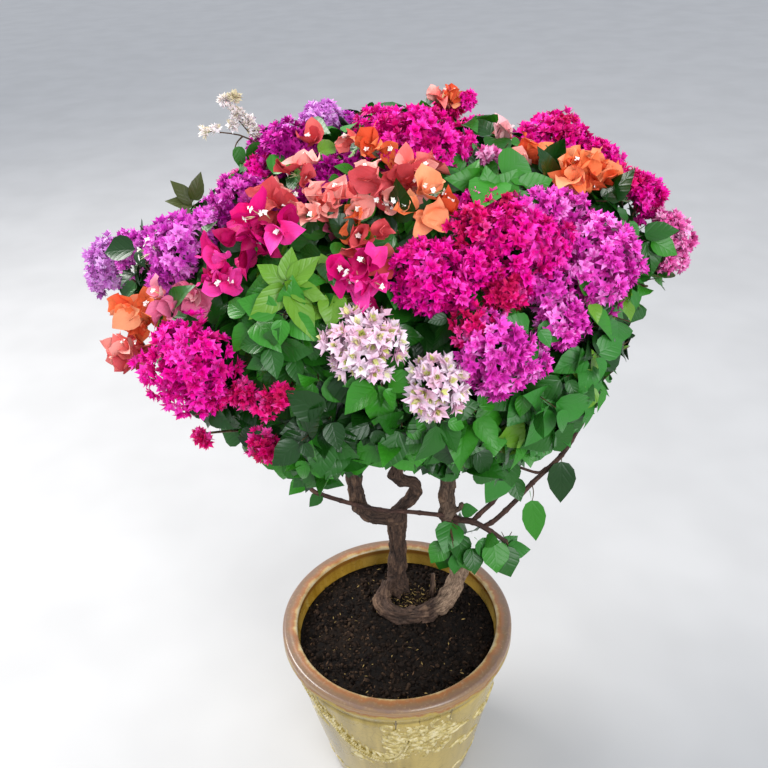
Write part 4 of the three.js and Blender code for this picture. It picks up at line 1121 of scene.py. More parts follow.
def clearance_in(mass, points):
    """How far inside a mass's space points lie; less than nothing outside it."""
    power = powers(np.atleast_2d(points))
    own = np.flatnonzero(lobe_mass == mass)
    others = np.flatnonzero(lobe_mass != mass)
    nearest = own[power[:, own].argmin(1)]
    between = np.linalg.norm(lobe_middle[others][None] - lobe_middle[nearest][:, None], axis=2)
    least = power[np.arange(len(power)), nearest][:, None]
    return ((power[:, others] - least) / (2 * between)).min(1)


def bezier(foot, bend, tip, shares):
    t = np.asarray(shares, float)[:, None]
    return (1 - t) ** 2 * foot + 2 * t * (1 - t) * bend + t**2 * tip


carriers = {**OLD_WOOD, **YOUNG_STEMS}
plans = {}
bough_lines = []
for mass, (carrier, at, _) in MASSES.items():
    points, radii = carriers[carrier]
    own = lobe_mass == mass
    middle = (lobe_middle[own] * lobe_radius[own][:, None]).sum(0) / lobe_radius[own].sum()
    start = smooth_line(points, [1.0 if at is None else at])[0]
    if at is None:
        root, heading = start, unit(start - smooth_line(points, [0.9999])[0])
    elif mass in SPROUTS:
        root, heading = start, unit(middle - start)
    else:
        root = start + BOUGH_SHARE * (middle - start)
        bend = (start + root) / 2 + [0, 0, BOUGH_LIFT * np.linalg.norm(root - start)]
        heading = unit(root - bend)
        foot_radius = min(BOUGH_FOOT, BOUGH_FOOT_SHARE * radii_along(radii, at))
        shares = np.linspace(0, 1, 40)
        bough_lines.append((
            bezier(start, bend, root, shares) / 1000,
            (foot_radius + (BOUGH_TIP - foot_radius) * shares) / 1000,
        ))
    hub = root + HUB_SHARE * (middle - root)
    largest = lobe_middle[own][lobe_radius[own].argmax()]
    for _ in range(12):
        if clearance_in(mass, hub)[0] >= HUB_ROOM:
            break
        hub = hub + HUB_STEP * (largest - hub)
    bend = root + heading * STEM_HEADING * np.linalg.norm(hub - root)
    entry = ENTRY_FIRST
    while entry < ENTRY_LAST:
        if clearance_in(mass, bezier(root, bend, hub, [entry]))[0] >= TWIG_FOOT + 0.3:
            break
        entry += ENTRY_STEP
    plans[mass] = (root, bend, hub, entry)

bough_mesh = rods("boughs", bough_lines, roundness=3)
give_relief(bough_mesh, bough_lines, BOUGH_FURROW, BOUGH_LUMP)
with_bough = [mass for mass, (_, at, _) in MASSES.items() if at is not None and mass not in SPROUTS]
piece_of("boughs", bough_mesh, [young_bark], ["bough_" + mass for mass in with_bough])

# The twigs: from each stem to every lobe and to tips dealt evenly over the crown's outline, and
# then finer shoots that leave the twigs and fill the crown to its skin. Thin young wood, mottled
# brown and green-brown.
CROWN_HALF_WIDTH, CROWN_HALF_DEPTH, CROWN_RISE, CROWN_DROP = 440.0, 395.0, 255.0, 215.0
BARE_UNDERSIDE = -0.86  # no tip lies where the way from the crown's middle is steeper down
GOLDEN_ANGLE = math.pi * (3 - math.sqrt(5))
GOLDEN_SHARE = (math.sqrt(5) - 1) / 2
STEM_RADIUS = 4.2
TWIG_TIP, TWIG_BEND, TWIG_SAG = 1.6, 0.55, 0.08
SPROUT_THIN = 0.45  # how thick the sprouts' own twigs are, as a share of the others
SPROUT_SPREAD, SPROUT_RISE = 0.3, 32
SHELL_TIPS, SHELL_DEPTH = 48, 0.1
FINE_TIPS = 1150
FINE_DEPTH = 0.40  # how far in from the outline a fine shoot may end
SHOOT_LENGTH, SHOOT_SAG = 105.0, 0.12
SHOOT_FOOT, SHOOT_TIP = 1.5, 0.8
LOBE_SHOOT_AREA = 190.0  # a leaf lobe has one shoot for each share of its radius squared
LOBE_SHOOT_REACH = 0.85

SKIRT_PLANE = -0.2  # the skirt's lower edge is measured on a plane this far to the front
SKIRT_EYE = (-1.155, 1.56)  # and runs back along lines from this place, in y and z
SKIRT_RAGGED = 0.012
SKIRT_EDGE = [  # across and height of the skirt's lower edge, in millimetres
    (-379, 1201), (-364, 1136), (-307, 1113), (-296, 1071), (-289, 966), (-261, 932), (-217, 909),
    (-201, 871), (-144, 816), (-102, 804), (-66, 825), (-15, 849), (19, 842), (68, 825), (125, 836),
    (161, 799), (195, 836), (235, 865), (282, 879), (290, 944), (315, 996), (324, 1047), (326, 1090),
    (332, 1111), (383, 1119),
]
SKIRT_OPEN = 0.055  # a shoot of the skirt may end this far above its edge, which leaves gaps
SKY_PLANE = 0.1  # the crown's upper edge, in the same way
EDGE_ROOM = 0.02  # how far inside both edges the tips of twigs lie
SKY_EDGE = [
    (-521, 987), (-480, 1041), (-462, 1071), (-415, 1108), (-352, 1115), (-326, 1129), (-299, 1134),
    (-262, 1141), (-243, 1162), (-206, 1201), (-178, 1218), (-166, 1246), (-131, 1269), (-78, 1289),
    (-36, 1275), (15, 1278), (65, 1280), (77, 1298), (137, 1295), (146, 1259), (155, 1218), (177, 1220),
    (184, 1254), (210, 1245), (246, 1260), (285, 1253), (305, 1229), (339, 1210), (357, 1176),
    (394, 1170), (430, 1149), (450, 1114), (483, 1077), (504, 1043), (553, 936),
]


def past_edge(place, plane, edge):
    """How far, in metres, a place lies above an edge of the crown, measured on its plane."""
    nearer = (plane - SKIRT_EYE[0]) / (place[1] - SKIRT_EYE[0])
    height = SKIRT_EYE[1] - (SKIRT_EYE[1] - place[2]) * nearer
    across, heights = np.array(edge).T / 1000
    return height - np.interp(place[0] * nearer, across, heights)


def above_skirt(place, room=0.0):
    """Whether a place, in metres, lies above the lower edge of the leafy skirt."""
    return past_edge(place, SKIRT_PLANE, SKIRT_EDGE) > -room


def under_sky(place):
    return past_edge(place, SKY_PLANE, SKY_EDGE) < 0


def golden_directions(count):
    index = np.arange(count)
    height = 1 - 2 * (index + 0.5) / count
    flat = np.sqrt(1 - height**2)
    turn = index * GOLDEN_ANGLE
    return np.column_stack([flat * np.cos(turn), flat * np.sin(turn), height])


def crown_reach(directions):
    """How far the crown's outline lies from its middle in each direction."""
    x, y, z = directions.T
    tall = np.where(z > 0, CROWN_RISE, CROWN_DROP)
    return 1 / np.sqrt((x / CROWN_HALF_WIDTH) ** 2 + (y / CROWN_HALF_DEPTH) ** 2 + (z / tall) ** 2)


def dealt_shares(seed):
    """A row of shares between 0 and 1 that is the same each time."""
    while True:
        seed = (seed * 1664525 + 1013904223) & 0xFFFFFFFF
        yield seed / 4294967296


HEADS_SET_IN = {  # a head by mass and azimuth: its step to the right, back and up, and radius
    ("back_left", -114): ((40, 0, -45), 26.0), ("back_left", -112): ((48, 0, -48), 42.0),
    ("left_top", -100): ((29, 0, -20), 34.0), ("left_far", -59): ((28, 0, -8), 28.0),
    ("left_far", -57): ((15, 0, -8), 24.0), ("left_mid", -46): ((22, 0, -2), 20.0),
    ("top_tip", 138): ((6, 10, -14), 28.0), ("top_tip", 120): ((-6, 0, -22), 20.0),
}
head_middle, head_radius = lobe_middle.copy(), lobe_radius.copy()
lobe_keys = [(mass, row[1]) for mass, (_, _, rows) in MASSES.items() for row in rows]
for key, (step, radius) in HEADS_SET_IN.items():
    head_middle[lobe_keys.index(key)] += step
    head_radius[lobe_keys.index(key)] = radius

# Smaller touches of blossom between the heads: lone bracts in other colours, and open sprays that
# stand clear of the crown on thin stalks. They have their places before the shoots and leaves,
# which keep clear of them.
TOUCHES = [  # by kind, in the order they grow: azimuth, reach, height, radius, look and count
    ("single", [
        (-41, 136, 1266, 10, "salmon", 1), (-20, 108, 1266, 10, "salmon", 1),
        (-1, 138, 1252, 18, "orange", 3), (14, 185, 1238, 24, "salmon", 4),
        (-16, 205, 1165, 18, "rose", 2), (-7, 225, 1190, 16, "orange", 2),
        (-24, 285, 1200, 22, "cerise", 3), (-33, 322, 1180, 22, "cerise", 3),
        (-4, 320, 1172, 20, "cerise", 3),
    ]),
    ("double", [(-12, 165, 1222, 26, "deep", 28)]),
    ("single", [
        (-55, 379, 1092, 22, "orange", 3), (-55, 402, 1040, 14, "salmon", 5),
        (-45, 366, 1124, 20, "rose", 3), (132, 128, 1270, 16, "salmon", 4),
        (126, 136, 1262, 12, "orange", 2), (126, 284, 1160, 24, "salmon", 3),
        (60, 280, 1206, 22, "orange", 3), (76, 306, 1186, 22, "orange", 3),
        (100, 345, 1110, 22, "orange", 3),
    ]),
    ("double", [
        (126, 172, 1268, 20, "hot", 12), (49, 186, 1242, 18, "pink", 10),
        (80, 412, 1062, 26, "pink", 24), (22, 280, 1193, 38, "red", 50), (24, 339, 1137, 35, "red", 44),
        (36, 335, 1121, 41, "fuchsia", 56), (38, 318, 1169, 43, "hot", 60),
        (15, 321, 1140, 32, "hot", 36), (16, 353, 1108, 32, "red", 36), (28, 237, 1208, 27, "hot", 26),
        (52, 354, 1082, 36, "fuchsia", 44), (55, 296, 1175, 38, "fuchsia", 48),
        (62, 360, 1093, 29, "fuchsia", 30), (32, 271, 1201, 36, "red", 44),
        (28, 363, 1052, 34, "fuchsia", 38), (-52, 279, 1183, 31, "orchid", 34),
        (-82, 363, 1134, 31, "orchid", 34), (-83, 414, 1062, 29, "lilac", 28),
        (-58, 337, 1111, 31, "orchid", 32), (-72, 328, 1161, 30, "orchid", 32),
        (-62, 172, 1226, 37, "hot", 46), (-112, 135, 1242, 44, "orchid", 60),
        (-137, 124, 1262, 42, "lilac", 54), (-21, 118, 1220, 39, "deep", 50),
        (-30, 196, 1205, 28, "deep", 28), (-45, 212, 1206, 31, "orchid", 34),
        (-66, 225, 1202, 32, "orchid", 36), (90, 5, 1249, 48, "hot", 76),
        (65, 117, 1231, 41, "hot", 56), (11, 112, 1218, 31, "red", 34), (104, 282, 1230, 39, "red", 50),
        (95, 313, 1199, 44, "hot", 60), (107, 238, 1207, 36, "hot", 40), (90, 359, 1165, 29, "red", 28),
        (87, 445, 1042, 25, "pink", 20), (87, 405, 1103, 29, "pink", 30),
        (-29, 365, 1020, 24, "red", 20), (-34, 380, 1010, 20, "red", 14),
    ]),
    ("single", [
        (-12, 214, 1212, 24, "salmon", 4), (6, 196, 1226, 20, "salmon", 3),
        (-33, 232, 1212, 22, "salmon", 3), (76, 205, 1213, 18, "orange", 4),
        (66, 197, 1202, 16, "salmon", 3),
    ]),
    ("double", [
        (20, 319, 1166, 34, "hot", 40), (-16, 190, 1212, 34, "deep", 44),
    ]),
    ("lone", [(105, 194, 1216, 5, "rose", 4)]),
    ("double", [(-150, 69, 1234, 34, "orchid", 40)]),
    ("sprig", [
        (-20, 374, 1034, 22, "red", 18), (-24, 374, 950, 24, "red", 22), (-42, 368, 922, 14, "red", 8),
        (-103, 220, 1288, 12, "cream", 10), (-104, 206, 1292, 10, "cream", 8),
        (-104, 205, 1268, 15, "cream", 14), (-105, 190, 1258, 13, "cream", 12),
        (-101, 254, 1246, 9, "cream", 7), (-102, 238, 1248, 8, "cream", 5),
        (-106, 184, 1243, 12, "cream", 10), (-104, 214, 1252, 10, "cream", 7),
    ]),
]
DOUBLE_RISE, SINGLE_RISE = -2.0, 13.0  # how far blossom stands out of its head's ball
LOWERED_BY = 45.0  # the most that a head is lowered to lie under the crown's upper edge
BALL_TOP = (0.24, 0.97)  # how far back and up a ball's top lies, as seen from the front
LEAFLESS = {"double": 0.82, "single": 0.82, "sprig": 1.5}  # share of a head that no leaf grows in
CLEAR_TOUCH = 28  # double touches of at least this radius also keep leaves out


def below_sky(kind, middle, radius):
    """A head's middle, lowered until the ball's top is under the crown's upper edge."""
    reach = radius + (SINGLE_RISE if kind == "single" else DOUBLE_RISE)
    tops = [middle + reach * unit(np.array([side, *BALL_TOP])) for side in (-0.3, 0.0, 0.3)]
    high = 1000 * max(past_edge(top / 1000, SKY_PLANE, SKY_EDGE) for top in tops)
    return middle - [0, 0, min(LOWERED_BY, max(0.0, high))]


for index in np.flatnonzero(np.isin(lobe_kind, ["double", "single"])):
    head_middle[index] = below_sky(lobe_kind[index], head_middle[index], head_radius[index])
touches = []  # each with its middle, which for a head lies under the crown's upper edge
for kind, rows in TOUCHES:
    for azimuth, reach, height, radius, look, count in rows:
        middle = place_of(azimuth, reach, height)
        if kind in ("double", "single"):
            middle = below_sky(kind, middle, radius)
        touches.append((kind, look, middle, radius, count, azimuth))
bare = [
    (middle, LEAFLESS[kind] * radius)
    for kind, middle, radius in zip(lobe_kind, head_middle, head_radius) if kind != "leaf"
]
bare += [
    (middle, LEAFLESS["double"] * radius)
    for kind, _, middle, radius, _, _ in touches if kind == "double" and radius >= CLEAR_TOUCH
]
bare_middle = np.array([middle for middle, _ in bare])
bare_radius = np.array([radius for _, radius in bare])

dealt = dealt_shares(SEED)
shell_ways = golden_directions(SHELL_TIPS)
shell_shares = np.array([1 - SHELL_DEPTH * next(dealt) for _ in range(SHELL_TIPS)])
shell_tips = CROWN_MIDDLE + shell_ways * (crown_reach(shell_ways) * shell_shares)[:, None]
shell_tips = shell_tips[shell_ways[:, 2] >= BARE_UNDERSIDE]
shell_tips = np.array([
    tip for tip in shell_tips
    if above_skirt(tip / 1000, -EDGE_ROOM) and past_edge(tip / 1000, SKY_PLANE, SKY_EDGE) < -EDGE_ROOM
])

twig_lines = []
samples = {mass: [] for mass in MASSES}  # places on each mass's wood that a shoot can leave
steps = np.linspace(0, 1, 9)


def grow_twig(foot, tip, foot_radius, tip_radius, sag=TWIG_SAG):
    """A twig that bends in under its way to the tip. Its line is kept for what grows on it."""
    outward = unit(tip - CROWN_MIDDLE)
    bend = foot + TWIG_BEND * (tip - foot) - outward * sag * np.linalg.norm(tip - foot)
    line = bezier(foot, bend, tip, steps)
    twig_lines.append((line / 1000, (foot_radius + (tip_radius - foot_radius) * steps) / 1000))
    return line


for mass, (root, bend, hub, entry) in plans.items():
    stem = bezier(root, bend, hub, steps)
    stem_radius = STEM_RADIUS * (0.5 if mass in SPROUTS else 1.0)
    twig_lines.append((stem / 1000, np.full(len(stem), stem_radius / 1000)))
    own = lobe_mass == mass
    tips = list(head_middle[own])
    if mass in SPROUTS:
        ways = golden_directions(SPROUTS[mass])
        ways = ways * lobe_radius[own][0] * SPROUT_SPREAD
        tips += list(lobe_middle[own][0] + ways + [0, SPROUT_RISE, 0])
    else:
        under = [
            any(
                kind != "leaf" and np.linalg.norm(middle - tip) < 0.9 * radius
                for kind, middle, radius in zip(lobe_kind[own], lobe_middle[own], lobe_radius[own])
            )
            for tip in shell_tips
        ]
        inside = clearance_in(mass, shell_tips) > 0.3
        tips += list(shell_tips[inside & ~np.array(under)])
    samples[mass].extend(stem[4:])
    for number, tip in enumerate(tips):
        share = 1 - (1 - entry) * ((number * GOLDEN_SHARE) % 1)
        foot = bezier(root, bend, hub, [share])[0]
        thin = SPROUT_THIN if mass in SPROUTS else 1.0
        line = grow_twig(foot, tip, TWIG_FOOT * thin, TWIG_TIP * thin)
        samples[mass].extend(line[2:-1])
samples = {mass: np.array(places) for mass, places in samples.items()}

crown_lobes = ~np.isin(lobe_mass, list(SPROUTS))
fine_ways = golden_directions(FINE_TIPS)
fine_shares = 1 - FINE_DEPTH * chance.uniform(0, 1, FINE_TIPS) ** 1.4
fine_tips = CROWN_MIDDLE + fine_ways * (crown_reach(fine_ways) * fine_shares)[:, None]
fine_tips = list(fine_tips[fine_ways[:, 2] >= BARE_UNDERSIDE])
fine_looks = [""] * len(fine_tips)
for mass, kind, look, middle, radius in zip(lobe_mass, lobe_kind, lobe_look, lobe_middle, lobe_radius):
    if kind != "leaf" or mass in SPROUTS:
        continue
    for way in golden_directions(max(4, round(radius**2 / LOBE_SHOOT_AREA))):
        fine_tips.append(middle + way * radius * LOBE_SHOOT_REACH)
        fine_looks.append(look)

shoots = []  # each shoot's line, mass and look
for tip, look in zip(fine_tips, fine_looks):
    power = np.where(crown_lobes, powers(tip[None])[0], np.inf)
    nearest = power.argmin()
    mass = lobe_mass[nearest]
    buried = np.linalg.norm(bare_middle - tip, axis=1) < bare_radius
    open_by = SKIRT_OPEN * chance.uniform() ** 2
    if buried.any() or not above_skirt(tip / 1000, -open_by) or not under_sky(tip / 1000):
        continue
    target = tip - unit(tip - CROWN_MIDDLE) * SHOOT_LENGTH
    places = samples[mass]
    foot = places[np.linalg.norm(places - target, axis=1).argmin()]
    line = grow_twig(foot, tip, SHOOT_FOOT, SHOOT_TIP, sag=SHOOT_SAG)
    shoots.append((line, mass, look))

STALK_FOOT, STALK_THINNING = 1.4, 0.7
THIN_STALKS = [  # of the cream spray, of hanging leaves, of the lone bracts and of leaves at the right
    [(-150, 96, 1205), (-178, 100, 1232), (-200, 100, 1262), (-214, 100, 1288)],
    [(-160, 98, 1215), (-195, 100, 1236), (-228, 100, 1243), (-249, 100, 1246)],
    [(-178, 100, 1232), (-181, 100, 1245), (-182, 100, 1257)],
    [(-195, 100, 1236), (-204, 99, 1228), (-209, 100, 1219)],
    [(252, 50, 611), (255, 47, 598), (255, 45, 586), (253, 44, 574)],
    [(300, 48, 671), (301, 46, 664), (300, 44, 656)],
    [(172, 88, 1184), (180, 95, 1198), (187, 100, 1218)],
    [(336, -18, 1080), (354, -34, 1096), (368, -46, 1106)],
]
for points in THIN_STALKS:
    thick = (STALK_FOOT - STALK_THINNING * steps) / 1000
    twig_lines.append((smooth_line(points, steps) / 1000, thick))

twig_mesh = rods("twigs", twig_lines, roundness=0)
twig_wood, twig_fine = mottled(
    "twig_wood", 160.0, (0.3, "33231a"), (0.55, "5a4128"), (0.75, "6b6536"), Roughness=0.7
)
drive(twig_wood, "Normal", bump(twig_wood, twig_fine, 0.4, 0.0006))
piece_of("twigs", twig_mesh, [twig_wood], ["mass_" + mass for mass in MASSES])

# The leaves: ovate with a drawn-out tip, folded along the midrib, a little wavy, on short stalks
# by turns round each shoot. Glossy and dark when old, yellow-green when young. Each is a few
# faces cut to its own outline, and each tone of leaf is one piece.
LEAF_LENGTH, LEAF_WIDTH = 0.050, 0.036
STALK_LENGTH = 0.010
LEAVES_ON_SHOOT = 9
LEAFY_SHARE = 0.62  # how far down its shoot, from the tip, the leaves sit
TIP_LEAF, TIP_LIGHTER = 0.65, 0.35  # the leaf at a tip is smaller, and often a tone younger
LARGE_LEAF = 1.25
LEAF_RISE = (0, 0, 0.5)  # leaves look out of the crown and a little up
LEAF_HANG = (0, 0, -0.45)
HALF_WIDTHS = [(0.07, 0.27), (0.20, 0.44), (0.40, 0.50), (0.62, 0.41), (0.83, 0.20)]


def blade_outline(rows, columns=3):
    """A blade's corners, as side and length shares, and its faces: a foot, rows and a tip."""
    across = np.linspace(-1, 1, columns)
    corners = [(0.0, 0.0)]
    for along, half in rows:
        corners += [(half * share, along - 0.03 * abs(share)) for share in across]
    corners.append((0.0, 1.0))
    tip = len(corners) - 1
    faces = []
    for column in range(columns - 1):
        a = 1 + column
        faces.append((0, a + 1, a))
        for row in range(len(rows) - 1):
            b = a + columns
            faces += [(a, a + 1, b + 1), (a, b + 1, b)]
            a = b
        faces.append((a, a + 1, tip))
    return np.array(corners), faces


def blades(outline, rows, bend=1.15, reflex=0.0):
    """Corners of folded, drooping and wavy blades. A row is a blade's foot, the way it points and
    the way it faces, and its length, width, fold, droop and wave."""
    feet, along, facing = rows[:, 0:3], unit(rows[:, 3:6]), rows[:, 6:9]
    length, width, fold, droop, wave = rows[:, 9:14].T[..., None]
    side = unit(np.cross(along, facing))
    up = np.cross(side, along)
    x, y = outline[:, 0][None], outline[:, 1][None]
    ripple = wave * np.sin(y * 9.0 + np.sign(x) * 1.3 + feet[:, :1] * 900) * np.abs(x) * 2
    rise = (0.5 * fold * np.abs(2 * x) ** bend + ripple) * width
    rise = rise - (droop * y**2 + reflex * y**4) * length
    reach = y * length - 0.25 * np.abs(droop) * y**3 * length
    return (
        feet[:, None] + reach[..., None] * along[:, None]
        + (x * width)[..., None] * side[:, None] + rise[..., None] * up[:, None]
    )


leaf_outline, leaf_faces = blade_outline(HALF_WIDTHS)
stalk_outline = np.array([(-0.018, -0.2), (0.018, -0.2)])
leaf_outline = np.vstack([leaf_outline, stalk_outline])
leaf_faces = leaf_faces + [(0, len(leaf_outline) - 2, len(leaf_outline) - 1)]
LEAF_TONES = {
    "deep": ("0f3a08", 0.34), "mid": ("1c5710", 0.36), "fresh": ("2f7c18", 0.38),
    "lime": ("5f8f20", 0.38), "bronze": ("424a14", 0.42), "cool": ("2b7322", 0.38),
}
TONE_SHARES = {  # how often each tone comes, by look or by side of the crown
    "": (0.34, 0.42, 0.21, 0.03, 0.0, 0.0),
    "right": (0.16, 0.28, 0.14, 0.05, 0.0, 0.37),
    "lime": (0.15, 0.45, 0.32, 0.08, 0.0, 0.0),
    "bronze": (0.1, 0.3, 0.2, 0.0, 0.4, 0.0),
    "large": (0.1, 0.4, 0.5, 0.0, 0.0, 0.0),
    "pale": (0.05, 0.25, 0.40, 0.12, 0.0, 0.18),
}
RIGHT_SIDE = (
    "right_front", "right_low", "right_far", "skirt_right", "back_low_right", "back_right",
)
tone_names = list(LEAF_TONES)
leaf_rows = {tone: [] for tone in LEAF_TONES}


def lay_leaf(tone, foot, along, facing, length, width, form=None):
    """One leaf, with its fold, droop and wave by chance unless its form gives them."""
    by_chance = (chance.uniform(0.15, 0.50), chance.uniform(0.08, 0.50), chance.normal(0, 0.06))
    leaf_rows[tone].append((*foot, *along, *facing, length, width, *(form or by_chance)))


for line, mass, look in shoots:
    shares = TONE_SHARES[look or ("right" if mass in RIGHT_SIDE else "")]
    spray = tone_names[chance.choice(len(tone_names), p=shares)]
    tip_tone = {"deep": "mid", "mid": "fresh", "fresh": "lime"}.get(spray, spray)
    facing = unit(unit(line[-1] - CROWN_MIDDLE) + LEAF_RISE)
    first = chance.uniform(0, 2 * math.pi)
    size = (LARGE_LEAF if look == "large" else 1.0) * chance.uniform(0.85, 1.1)
    for leaf in range(LEAVES_ON_SHOOT):
        place = (len(line) - 1) * (1 - LEAFY_SHARE * leaf / LEAVES_ON_SHOOT)
        before = min(int(place), len(line) - 2)
        foot = line[before] + (place - before) * (line[before + 1] - line[before])
        tangent = unit(line[before + 1] - line[before])
        across = unit(np.cross(tangent, facing))
        around = np.cross(across, tangent)
        turn = first + leaf * GOLDEN_ANGLE
        way = 0.45 * tangent + math.cos(turn) * across + 0.7 * math.sin(turn) * around
        way = unit(way + LEAF_HANG)
        tilt = unit(facing + 0.35 * chance.normal(size=3))
        own = size * chance.uniform(0.78, 1.08) * (TIP_LEAF if leaf == 0 else 1.0)
        start = foot / 1000 + way * STALK_LENGTH * own
        if (np.linalg.norm(bare_middle - start * 1000, axis=1) < bare_radius).any():
            continue
        end = start + way * LEAF_LENGTH * own
        if not above_skirt(end, SKIRT_RAGGED * chance.uniform()) or not under_sky(end):
            continue
        tone = tip_tone if leaf == 0 and chance.uniform() < TIP_LIGHTER else spray
        wide = LEAF_WIDTH * own * chance.uniform(0.88, 1.12)
        lay_leaf(tone, start, way, tilt, LEAF_LENGTH * own, wide)

# The sprouts low on the right trunk and its side stem have rounder leaves, which hang in a
# cluster over the pot's rim. A few single leaves hang from the canes.
SPROUT_LEAVES = [  # place of the leaf's foot, where its tip points, length and width, millimetres
    ((112, 78, 504), (-0.2, -0.6, -0.3), 62, 56), ((120, 66, 484), (0.2, -0.7, -0.5), 58, 50),
    ((96, 66, 466), (-0.5, -0.5, -0.5), 48, 44), ((118, 52, 454), (0.0, -0.5, -0.8), 46, 40),
    ((134, 50, 462), (0.2, -0.4, -0.8), 50, 42), ((146, 44, 470), (0.1, -0.6, -0.6), 52, 42),
    ((158, 48, 484), (0.5, -0.4, -0.4), 46, 38), ((172, 46, 489), (0.3, -0.5, 0.3), 36, 30),
    ((186, 44, 482), (0.1, -0.6, -0.6), 60, 56), ((200, 42, 468), (0.3, -0.5, -0.7), 62, 58),
    ((214, 46, 462), (0.8, -0.3, 0.1), 44, 38), ((206, 50, 464), (0.7, 0.1, 0.5), 36, 30),
    ((130, 84, 529), (0.5, -0.3, 0.2), 34, 28), ((104, 60, 452), (-0.4, -0.3, -0.9), 50, 46),
    ((126, 92, 484), (0.4, 0.7, -0.3), 52, 46), ((150, 76, 482), (0.2, 0.8, -0.4), 50, 44),
    ((194, 64, 464), (0.1, 0.8, -0.4), 48, 42), ((197, 8, 690), (-0.35, -0.5, -0.6), 80, 60),
    ((252, 44, 578), (0.15, -0.4, -1.0), 90, 44), ((300, 44, 662), (0.0, -0.4, -0.9), 84, 50),
    ((214, 30, 640), (0.2, -0.6, -0.5), 44, 34), ((-128, 74, 590), (-0.6, -0.4, -0.4), 34, 24),
    ((-150, 60, 640), (-0.5, -0.5, -0.2), 46, 32),
]
SPROUT_TONES = (0.05, 0.2, 0.35, 0.0, 0.0, 0.4)  # how often each tone comes here
SPROUT_FORM = (0.12, 0.22, 0.05)
TO_THE_FRONT = np.array([0.1, -0.75, 0.65])  # where leaves placed one by one face


def lay_chosen_leaf(tone, foot, way, length, width, form, stray):
    facing = unit(TO_THE_FRONT + stray * chance.normal(size=3))
    foot, way = np.array(foot) / 1000, unit(np.array(way))
    lay_leaf(tone, foot, way, facing, length / 1000, width / 1000, form)


for row in SPROUT_LEAVES:
    tone = tone_names[chance.choice(len(tone_names), p=SPROUT_TONES)]
    lay_chosen_leaf(tone, *row, SPROUT_FORM, stray=0.25)

# Young leaves that stand out by themselves: a lime rosette on the left of the front, broad leaves
# between the heads on top, and a few beside the heads at the right and under the cream spray.
YOUNG_LEAVES = [  # tone, foot, where the tip points, length and width in millimetres
    ("lime", (-109, -266, 1166), (0.17, 0.3, 0.94), 40, 24),
    ("lime", (-107, -268, 1164), (0.77, 0.1, 0.65), 48, 26),
    ("lime", (-112, -268, 1160), (-0.73, -0.52, -0.48), 58, 30),
    ("lime", (-106, -270, 1160), (0.93, -0.36, -0.22), 46, 26),
    ("lime", (-108, -272, 1156), (0.47, -0.63, -0.66), 66, 32),
    ("fresh", (-104, -264, 1163), (0.98, -0.1, 0.1), 40, 28),
    ("lime", (-113, -266, 1164), (-0.77, 0.1, 0.6), 38, 24),
    ("fresh", (-118, -258, 1150), (-0.85, -0.3, -0.3), 52, 34),
    ("lime", (-108, -274, 1163), (0.1, -0.8, 0.5), 24, 14),
    ("fresh", (134, -152, 1206), (-0.05, 0.1, 1.0), 48, 36),
    ("fresh", (142, -150, 1208), (0.55, 0.1, 0.8), 48, 38),
    ("fresh", (148, -154, 1204), (0.95, -0.15, 0.1), 62, 34),
    ("mid", (130, -156, 1202), (-0.9, -0.2, -0.1), 44, 34),
    ("fresh", (170, -140, 1216), (0.85, 0.1, 0.25), 50, 34),
    ("mid", (140, -158, 1202), (0.2, -0.7, -0.4), 42, 32),
    ("mid", (370, -46, 1104), (0.15, -0.4, -0.9), 56, 36),
    ("fresh", (376, -48, 1106), (0.8, -0.3, -0.35), 44, 32),
    ("mid", (366, -46, 1114), (0.85, -0.2, 0.25), 48, 32),
    ("fresh", (-203, 98, 1222), (0.05, -0.4, -0.9), 34, 20),
    ("bronze", (-262, 0, 1172), (-0.55, 0.1, 0.75), 44, 22),
    ("bronze", (-258, 0, 1176), (0.3, 0.1, 0.9), 42, 22),
    ("bronze", (-262, 0, 1168), (-0.9, -0.1, 0.35), 40, 20),
]
YOUNG_FORM = (0.30, 0.18, 0.05)
for tone, *row in YOUNG_LEAVES:
    lay_chosen_leaf(tone, *row, YOUNG_FORM, stray=0.15)

VEIN_SWEEP, SIDE_VEINS = 0.9, 9.0  # how far the side veins sweep forward, and how close they lie


def leaf_skin(tone, code, roughness):
    """A glossy leaf, sunk along its midrib and side veins and quilted between them."""
    settings = {"Base_Color": colour(code), "Roughness": roughness, "Specular_IOR_Level": 0.38}
    skin = new_material("leaf_" + tone, **settings)
    blade = add(skin, "ShaderNodeUVMap", uv_map="blade").outputs[0]
    across, along = add(skin, "ShaderNodeSeparateXYZ", {0: blade}).outputs[:2]
    off_midrib = maths(skin, "ABSOLUTE", maths(skin, "SUBTRACT", across, 0.5))
    swept = maths(skin, "MULTIPLY_ADD", off_midrib, -VEIN_SWEEP, along)
    saw = maths(skin, "PINGPONG", maths(skin, "MULTIPLY", swept, SIDE_VEINS), 1.0)
    midrib = ramp(skin, off_midrib, (0.0, 0), (0.06, 1))
    quilt = ramp(skin, saw, (0.0, 0), (0.5, 1))
    drive(skin, "Normal", bump(skin, mix(skin, 1.0, midrib, quilt, "MULTIPLY"), 0.25, 0.0012))
    return skin


leaf_uvs = np.column_stack([leaf_outline[:, 0] + 0.5, np.clip(leaf_outline[:, 1], 0, 1)])
for tone, (code, roughness) in LEAF_TONES.items():
    shape = blades(leaf_outline, np.array(leaf_rows[tone]))
    mesh = joined("leaves_" + tone, shape, leaf_faces, uvs=leaf_uvs)
    piece_of("leaves_" + tone, mesh, [leaf_skin(tone, code, roughness)])

